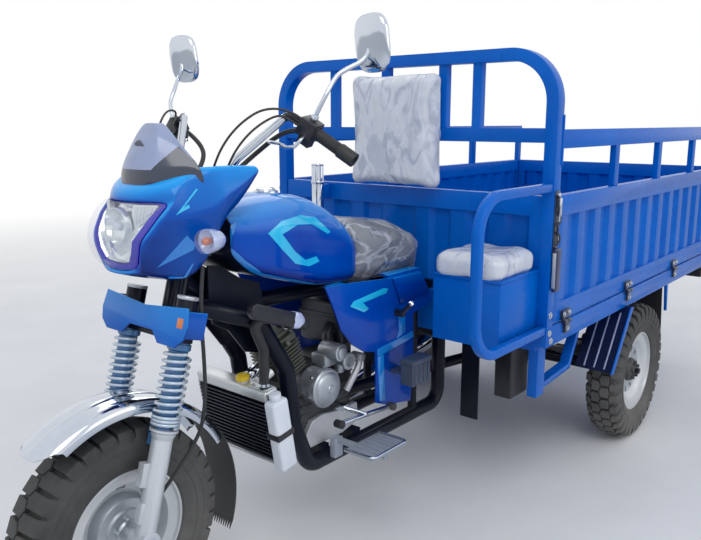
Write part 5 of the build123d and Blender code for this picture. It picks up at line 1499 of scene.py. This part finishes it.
# cargo bed: rounded copies of the welded parts, then hinges, bolts and gussets
bedParts = {
    "bed_floor": ("bedFloor", 0.0012, 2, "chassis"),
    "bed_frame": ("bedFrame", 0.002, 2, "chassis"),
    "headboard_hoop": ("headboardHoop", 0.0045, 3, "chassis"),
    "front_panel": ("frontPanel", 0.0022, 3, "chassis"),
    "left_gate": ("leftGate", 0.0022, 3, "left_gate"),
    "right_gate": ("rightGate", 0.0022, 3, "right_gate"),
    "left_guard_rail": ("leftGuardRail", 0.0026, 3, "left_gate"),
    "right_guard_rail": ("rightGuardRail", 0.0026, 3, "right_gate"),
    "tailgate": ("tailGate", 0.0022, 3, "tailgate"),
    "side_guard_loop": ("sideGuardLoop", 0.005, 3, "chassis"),
    "seat_box": ("seatBox", 0.0016, 2, "chassis"),
    "seat_box_lid": ("seatBoxLid", 0.002, 2, "seat_box_lid")}
hingeOffsets = (0.131, 0.715, 1.3, 1.88)


def isHinge(centre, normal):
    if abs(centre.x) > 0.6035 and centre.z > 0.618:
        return True
    return centre.y > 1.7745 and 0.618 < centre.z < 0.702


for nodeName, (name, width, segments, body) in bedParts.items():
    piece = softCopy(nodeName, name, width, segments, 30)
    finishPiece(piece, body, "bluePaint", "blue_paint", [nodeName], 32)
    if nodeName in ("bed_frame", "left_gate", "right_gate", "tailgate"):
        paintFaces(piece, "hingeSteel", isHinge)
print("bed panels ready")


def hexBolt(name, centre, along, radius=0.0075, height=0.006):
    centre, along = Vector(centre), Vector(along)
    washer = addRod(name, centre - along * 0.002, centre + along * 0.002, radius * 1.45, 24, bevel=0.0006)
    head = addRod(name, centre, centre + along * height, radius, 6, bevel=0.001)
    return [washer, head]


for sideName, side in sides:
    gateBolts, frameBolts = [], []
    for offset in hingeOffsets:
        y = bedY(offset)
        for shift in (-0.02, 0.02):
            gateBolts += hexBolt("bolt", (side * 0.6085, y + shift, 0.688), (side, 0, 0), 0.006)
        frameBolts += hexBolt("bolt", (side * 0.6085, y + 0.0125, 0.634), (side, 0, 0), 0.007)
    finishParts(gateBolts, f"gateBolts_{sideName}", f"{sideName}_gate", "chrome", "chrome")
    for y, z in ((0.02, 0.64), (0.032, 0.612), (0.02, 0.7)):
        frameBolts += hexBolt("bolt", at(side * 0.6005, y, z), (side, 0, 0), 0.008)
    finishParts(frameBolts, f"frameBolts_{sideName}", "chassis", "chrome", "chrome")
    gusset = [addBlock("gusset", at(side * 0.6 - 0.002, 0.04, 1.18), at(side * 0.6 + 0.002, 0.046, 1.33)),
        toMesh(addTube("gussetEdge",
        [at(side * 0.6, 0.045, 1.335), at(side * 0.6, 0.046, 1.3), at(side * 0.6, 0.046, 1.18)], 0.004))]
    finishParts(gusset, f"hoopGusset_{sideName}", "chassis", "bluePaint", "blue_paint")
tailBolts = []
for x in (-0.43, 0.0, 0.43):
    for shift in (-0.02, 0.02):
        tailBolts += hexBolt("bolt", (x + shift, 1.7805, 0.688), (0, 1, 0), 0.006)
finishParts(tailBolts, "tailgateBolts", "tailgate", "chrome", "chrome")

# gate latches: a plate, chain links and a lever handle on the outside of each hoop leg
latch = {"links": 4, "y": 0.024}
for sideName, side in sides:
    outwards = Matrix.Translation(at(side * 0.6, latch["y"], 0)) @ Matrix.Scale(side, 4, (1, 0, 0))
    parts = [addBlock("latchPlate", (0.0, -0.017, 0.902), (0.004, 0.015, 1.102), 0.0012),
        addRod("latchPivot", (0.002, -0.004, 1.088), (0.013, -0.004, 1.088), 0.009, 24, bevel=0.002),
        addRod("latchPin", (0.007, -0.018, 0.998), (0.007, 0.018, 0.998), 0.0032, 16, bevel=0.0008),
        addBlock("latchHook", (0.003, -0.01, 1.052), (0.012, 0.006, 1.082), 0.003)]
    link = addRing(0.0095, 0.003, 0, 28, 10)
    startEdit(link, "VERT")
    bpy.ops.transform.resize(value=(1, 1, 1.8), center_override=(0, 0, 0))
    endEdit()
    for index in range(latch["links"]):
        turn = Matrix.Rotation(math.radians(35 - 70 * (index % 2)), 4, "Z")
        parts.append(copyOf(link, "latchLink",
            Matrix.Translation((0.008, -0.001, 1.044 - 0.031 * index)) @ turn))
    bpy.data.objects.remove(link)
    latchBody = place(joinAll(parts, f"gateLatch_{sideName}"), outwards)
    if side < 0:
        latchBody.data.flip_normals()
    finishPiece(latchBody, "chassis", "hingeSteel", "black_paint", ["gate_latches"] if side == 1 else ())
    handle = addBlock("latchHandle", (0.004, -0.02, 0.78), (0.02, 0.017, 0.922), 0.0075, 4)
    strip = addBlock("latchStrip", (0.006, -0.0212, 0.794), (0.017, -0.019, 0.908), 0.0007)
    bright = [addBlock("latchTongue", (0.012, -0.004, 1.006), (0.014, 0.012, 1.08), 0.0006),
        addBlock("latchTab", (0.004, 0.012, 0.93), (0.006, 0.018, 0.964), 0.0006),
        addRod("latchBall", (0.002, -0.006, 1.09), (0.015, -0.006, 1.09), 0.0068, 24, bevel=0.002)]
    for part, name, look, slotName in ((handle, "latchHandle", "navyGrip", "black_rubber"),
            (strip, "latchStrip", "paleAlloy", "chrome"),
            (joinAll(bright, "bright"), "latchBright", "chrome", "chrome")):
        part.name = f"{name}_{sideName}"
        place(part, outwards)
        if side < 0:
            part.data.flip_normals()
        finishPiece(part, "chassis", look, slotName)
print("latches ready")

# seat box cushion and backrest pad, each in its plastic wrap
padLooks = {
    "seat_box_cushion": {"name": "boxCushion", "body": "seat_box_lid",
        "shrink": 0.003, "voxel": 0.006, "cap": 0.01, "fold": {"stretch": (9.0, 9.0, 5.0),
        "lift": 0.002, "fold": 0.0026, "sag": 0.002, "broadScale": 12.0}, "seed": 5},
    "backrest_pad": {"name": "backrestPad", "body": "chassis", "shrink": 0.005, "voxel": 0.006,
        "cap": 0.014, "fold": {"stretch": (8.0, 8.0, 3.2), "lift": 0.0022, "fold": 0.0042, "sag": 0.004,
        "broadScale": 7.0}, "seed": 9}}
for nodeName, look in padLooks.items():
    pad = swellPad(nodeName, look["name"], look["shrink"], look["voxel"], look["cap"])
    finishPiece(pad, look["body"], "paleVinyl", "wrapped_cushion", [nodeName], 60)
    wrap = crinkle(copyOf(pad, look["name"] + "Wrap"), look["fold"], look["seed"])
    finishPiece(wrap, look["body"], "milkyFilm", "wrapped_cushion", angle=35)
print("cushions ready")

# canopy post, rear fenders and mud flaps
post = [addRod("canopyPost", at(-0.334, -0.06, 0.594), at(-0.334, -0.06, 1.156), 0.023, 48, bevel=0.002),
    addRod("postCollar", at(-0.334, -0.06, 1.08), at(-0.334, -0.06, 1.092), 0.026, 48, bevel=0.002),
    addRod("postRim", at(-0.334, -0.06, 1.148), at(-0.334, -0.06, 1.156), 0.0232, 48, bevel=0.0015)]
finishParts(post, "canopyPost", "chassis", "chrome", "chrome", ["canopy_post"])
postBrackets = [addBlock("postBracket", at(-0.346, -0.06, 0.594), at(-0.322, 0.0, 0.644), 0.002),
    addBlock("postBracket", at(-0.346, -0.06, 1.024), at(-0.322, 0.004, 1.078), 0.002)]
finishParts(postBrackets, "postBrackets", "chassis", "bluePaint", "blue_paint")
fenders = softCopy("rear_fenders", "rearFenders", 0.0012, 2)
finishPiece(fenders, "chassis", "bluePaint", "blue_paint", ["rear_fenders"])
paintFaces(fenders, "navyPaint", lambda centre, normal: abs(centre.x) < 0.6215 and centre.y < 0.6)
fenderRibs = []
for side in (1, -1):
    for x in (0.505, 0.545, 0.585):
        rib = addBlock("fenderRib", (-0.003, -0.002, -0.135), (0.003, 0.002, 0.11), 0.001)
        place(rib,
            Matrix.Translation(at(side * x, 0.6515, 0.478)) @ Matrix.Rotation(math.radians(-36), 4, "X"))
        fenderRibs.append(rib)
finishParts(fenderRibs, "fenderRibs", "chassis", "lilacPlastic", "blue_paint")
flapLook = {"teeth": 10, "top": 0.594, "low": 0.334, "lean": (1.216, 1.254)}
for sideName, side in sides:
    width = 0.117 / flapLook["teeth"]
    outline = [(0.47, flapLook["top"]), (0.47, flapLook["low"] + 0.012)]
    for index in range(flapLook["teeth"]):
        outline += [(0.47 + width * (index + 0.5), flapLook["low"]),
            (0.47 + width * (index + 1), flapLook["low"] + 0.012)]
    outline.append((0.587, flapLook["top"]))
    sheetFlap = growPlate(f"rearFlap_{sideName}", [(side * x, z) for x, z in outline], 0, [(0.004, 1.0)],
        (0, 0, 0))
    for vertex in sheetFlap.data.vertices:
        down = (flapLook["top"] - vertex.co.z) / (flapLook["top"] - flapLook["low"])
        curl = 0.006 * math.sin(vertex.co.x * 60) * down
        vertex.co.y += bedY(flapLook["lean"][0] + (flapLook["lean"][1] - flapLook["lean"][0]) * down) + curl
    startEdit(sheetFlap)
    faceOutwards()
    endEdit()
    finishPiece(sheetFlap, "chassis", "blackRubber", "black_rubber", ["rear_mud_flaps"] if side == 1 else ())
    low, high = sorted((side * 0.52, side * 0.562))
    flapBracket = addBlock(f"flapBracket_{sideName}", at(low, 1.214, 0.578), at(high, 1.264, 0.594), 0.001)
    finishPiece(flapBracket, "chassis", "bluePaint", "blue_paint")
print("rear fenders ready")

# tail lights, plate bracket, rear axle and leaf springs
axleY, axleZ = wheel["rearY"], wheel["axleZ"]
for sideName, side in sides:
    lampX = side * 0.47
    low, high = lampX - 0.07, lampX + 0.07
    housing = [addBlock("lampHousing", (low, 1.731, 0.492), (high, 1.752, 0.552), 0.004, 3),
        addBlock("lampStem", (lampX - 0.012, 1.737, 0.55), (lampX + 0.012, 1.751, 0.578), 0.002)]
    finishParts(housing, f"tailLampHousing_{sideName}", "chassis", "blackPlastic", "black_plastic",
        ["tail_lights"] if side == 1 else ())
    for part, look, start, end in (("Stop", "redLens", 0.004, 0.078), ("Turn", "amberLens", 0.081, 0.136)):
        ends = sorted((side * (0.4 + start), side * (0.4 + end)))
        lensParts = [addBlock("lampLens", (ends[0], 1.75, 0.496), (ends[1], 1.7585, 0.548), 0.003, 3)]
        for index in range(8):
            z = 0.501 + 0.006 * index
            lensParts.append(addBlock("lampFlute", (ends[0] + 0.003, 1.7575, z),
                (ends[1] - 0.003, 1.7592, z + 0.003), 0.0008))
        finishParts(lensParts, f"tailLamp{part}_{sideName}", "chassis", look, "red_lens")
plateBracket = softCopy("plate_bracket", "plateBracket", 0.0008, 2)
finishPiece(plateBracket, "chassis", "frameBlack", "black_paint", ["plate_bracket"])
axle = softCopy("rear_axle", "rearAxle", 0)
finishPiece(axle, "chassis", "frameBlack", "black_paint", ["rear_axle"], 45)
axleParts = [addRod("axleCover", (0, axleY + 0.08, axleZ), (0, axleY + 0.099, axleZ), 0.074, 48,
    bevel=0.006)]
for index in range(10):
    angle = 2 * math.pi * index / 10
    spot = (0.064 * math.cos(angle), 0.684, axleZ + 0.064 * math.sin(angle))
    axleParts += hexBolt("coverBolt", spot, (0, 1, 0), 0.005, 0.008)
for side in (1, -1):
    axleParts.append(addRod("axleFlange", (side * 0.112, axleY, axleZ), (side * 0.124, axleY, axleZ), 0.056,
        40, bevel=0.003))
    axleParts.append(addRod("brakeDrum", (side * 0.452, axleY, axleZ), (side * 0.474, axleY, axleZ), 0.088,
        48, bevel=0.006))
finishParts(axleParts, "axleDetails", "chassis", "caseAlloy", "black_paint")
leafLook = {"thick": 0.007, "half": 0.028, "reach": (0.45, 0.38, 0.3, 0.22, 0.15)}
for sideName, side in sides:
    springX = side * 0.38
    leaves = []
    for index, reach in enumerate(leafLook["reach"]):
        drop = leafLook["thick"] * 1.14 * index
        chain = []
        for step in range(17):
            y = -reach + 2 * reach * step / 16
            height = 0.372 + 0.092 * (abs(y) / 0.45) ** 1.6 - drop
            chain.append((springX - leafLook["half"], axleY + y, height - leafLook["thick"]))
        leaf = drawChain("leaf", chain)
        startEdit(leaf, "EDGE")
        bpy.ops.mesh.extrude_edges_move(TRANSFORM_OT_translate={"value": (2 * leafLook["half"], 0, 0)})
        endEdit()
        addModifier(leaf, "SOLIDIFY", thickness=leafLook["thick"], offset=1)
        startEdit(leaf)
        faceOutwards()
        endEdit()
        roundEdges(leaf, 0.001, 2, 50)
        leaves.append(leaf)
    for end in (-1, 1):
        y = axleY + end * 0.442
        leaves.append(addRod("springEye", (springX - 0.029, y, 0.462), (springX + 0.029, y, 0.462), 0.016,
            32, bevel=0.002))
        for plateSide in (-1, 1):
            x = springX + plateSide * 0.031
            leaves.append(addBlock("shackle", (x - 0.002, y - 0.016, 0.448), (x + 0.002, y + 0.016, 0.512),
                0.001))
            leaves += hexBolt("shackleBolt", (x + plateSide * 0.001, y, 0.462), (plateSide, 0, 0), 0.0065,
                0.005)
        leaves.append(addBlock("springClip", (springX - 0.032, axleY + end * 0.23 - 0.01, 0.374),
            (springX + 0.032, axleY + end * 0.23 + 0.01, 0.407), 0.0015))
        bend = [(springX - 0.036, axleY + end * 0.05, 0.312), (springX - 0.036, axleY + end * 0.05, 0.378),
            (springX - 0.02, axleY + end * 0.05, 0.39), (springX + 0.02, axleY + end * 0.05, 0.39),
            (springX + 0.036, axleY + end * 0.05, 0.378), (springX + 0.036, axleY + end * 0.05, 0.312)]
        leaves.append(toMesh(addTube("springBolt", bend, 0.0055)))
    leaves.append(addBlock("springSeat", (springX - 0.04, axleY - 0.068, 0.32),
        (springX + 0.04, 0.656, 0.338), 0.003))
    finishParts(leaves, f"leafSpring_{sideName}", "chassis", "leafSteel", "black_paint",
        ["leaf_springs"] if side == 1 else ())
print("rear axle ready")

# floor, sky and lamps
lightSettings = {"key": 62, "fill": 26, "back": 30, "sky": 0.72, "fadeStart": 3.0, "fadeEnd": 9.0}


def addLamp(name, place, target, size, power):
    bpy.ops.object.light_add(type="AREA", location=place)
    lamp = bpy.context.object
    lamp.name = name
    lamp.data.shape = "RECTANGLE"
    lamp.data.size = size[0]
    lamp.data.size_y = size[1]
    lamp.data.energy = power
    lamp.rotation_euler = (Vector(target) - Vector(place)).to_track_quat("-Z", "Y").to_euler()


addLamp("keyLamp", (2.6, -2.8, 4.2), (0, -0.6, 0.6), (3.0, 2.2), lightSettings["key"])
addLamp("fillLamp", (4.6, 1.2, 2.6), (0.2, 0, 0.7), (3.4, 2.4), lightSettings["fill"])
addLamp("backLamp", (-3.0, 1.5, 3.8), (0, 0, 0.9), (3.0, 2.4), lightSettings["back"])


def whiteForView(tree, plain, strength):  # the camera, mirrors and glass see plain white
    rays = put(tree, "LightPath")
    white = put(tree, "Background", {"Color": (1, 1, 1, 1), "Strength": strength})
    either = rays.outputs["Is Camera Ray"]
    for other in ("Is Glossy Ray", "Is Transmission Ray"):
        summed = put(tree, "Math", operation="MAXIMUM")
        tree.links.new(either, summed.inputs[0])
        tree.links.new(rays.outputs[other], summed.inputs[1])
        either = summed.outputs[0]
    mixed = put(tree, "MixShader")
    tree.links.new(either, mixed.inputs[0])
    tree.links.new(plain.outputs[0], mixed.inputs[1])
    tree.links.new(white.outputs[0], mixed.inputs[2])
    return mixed


world = bpy.data.worlds.new("studio")
scene.world = world
world.use_nodes = True
world.node_tree.nodes.clear()
skyLight = put(world.node_tree, "Background",
    {"Color": (0.93, 0.96, 1.0, 1), "Strength": lightSettings["sky"]})
skyOut = put(world.node_tree, "OutputWorld")
world.node_tree.links.new(whiteForView(world.node_tree, skyLight, 1.0).outputs[0], skyOut.inputs[0])

bpy.ops.mesh.primitive_plane_add(size=60, location=(0, 0, 0))
floor = bpy.context.object
floor.name = "floor"
floor.data.materials.append(surface("floorMatt", {"dark": (0.74, 0.75, 0.77), "light": (0.8, 0.81, 0.83),
    "rough": (0.8, 0.9), "patchScale": 1.5, "bump": 0.02}))
floorTree = floor.data.materials[0].node_tree
distance = put(floorTree, "VectorMath", operation="LENGTH")
floorTree.links.new(put(floorTree, "TexCoord").outputs["Object"], distance.inputs[0])
fade = put(floorTree, "MapRange",
    {"From Min": lightSettings["fadeStart"], "From Max": lightSettings["fadeEnd"]})
floorTree.links.new(distance.outputs["Value"], fade.inputs["Value"])
whiteFloor = put(floorTree, "Emission", {"Color": (1, 1, 1, 1), "Strength": 1.0})
rays = put(floorTree, "LightPath")
onlyView = put(floorTree, "Math", operation="MULTIPLY")
floorTree.links.new(fade.outputs["Result"], onlyView.inputs[0])
floorTree.links.new(rays.outputs["Is Camera Ray"], onlyView.inputs[1])
floorMix = put(floorTree, "MixShader")
floorTree.links.new(onlyView.outputs[0], floorMix.inputs[0])
floorTree.links.new(floorTree.nodes["Principled BSDF"].outputs[0], floorMix.inputs[1])
floorTree.links.new(whiteFloor.outputs[0], floorMix.inputs[2])
floorTree.links.new(floorMix.outputs[0], floorTree.nodes["Material Output"].inputs["Surface"])
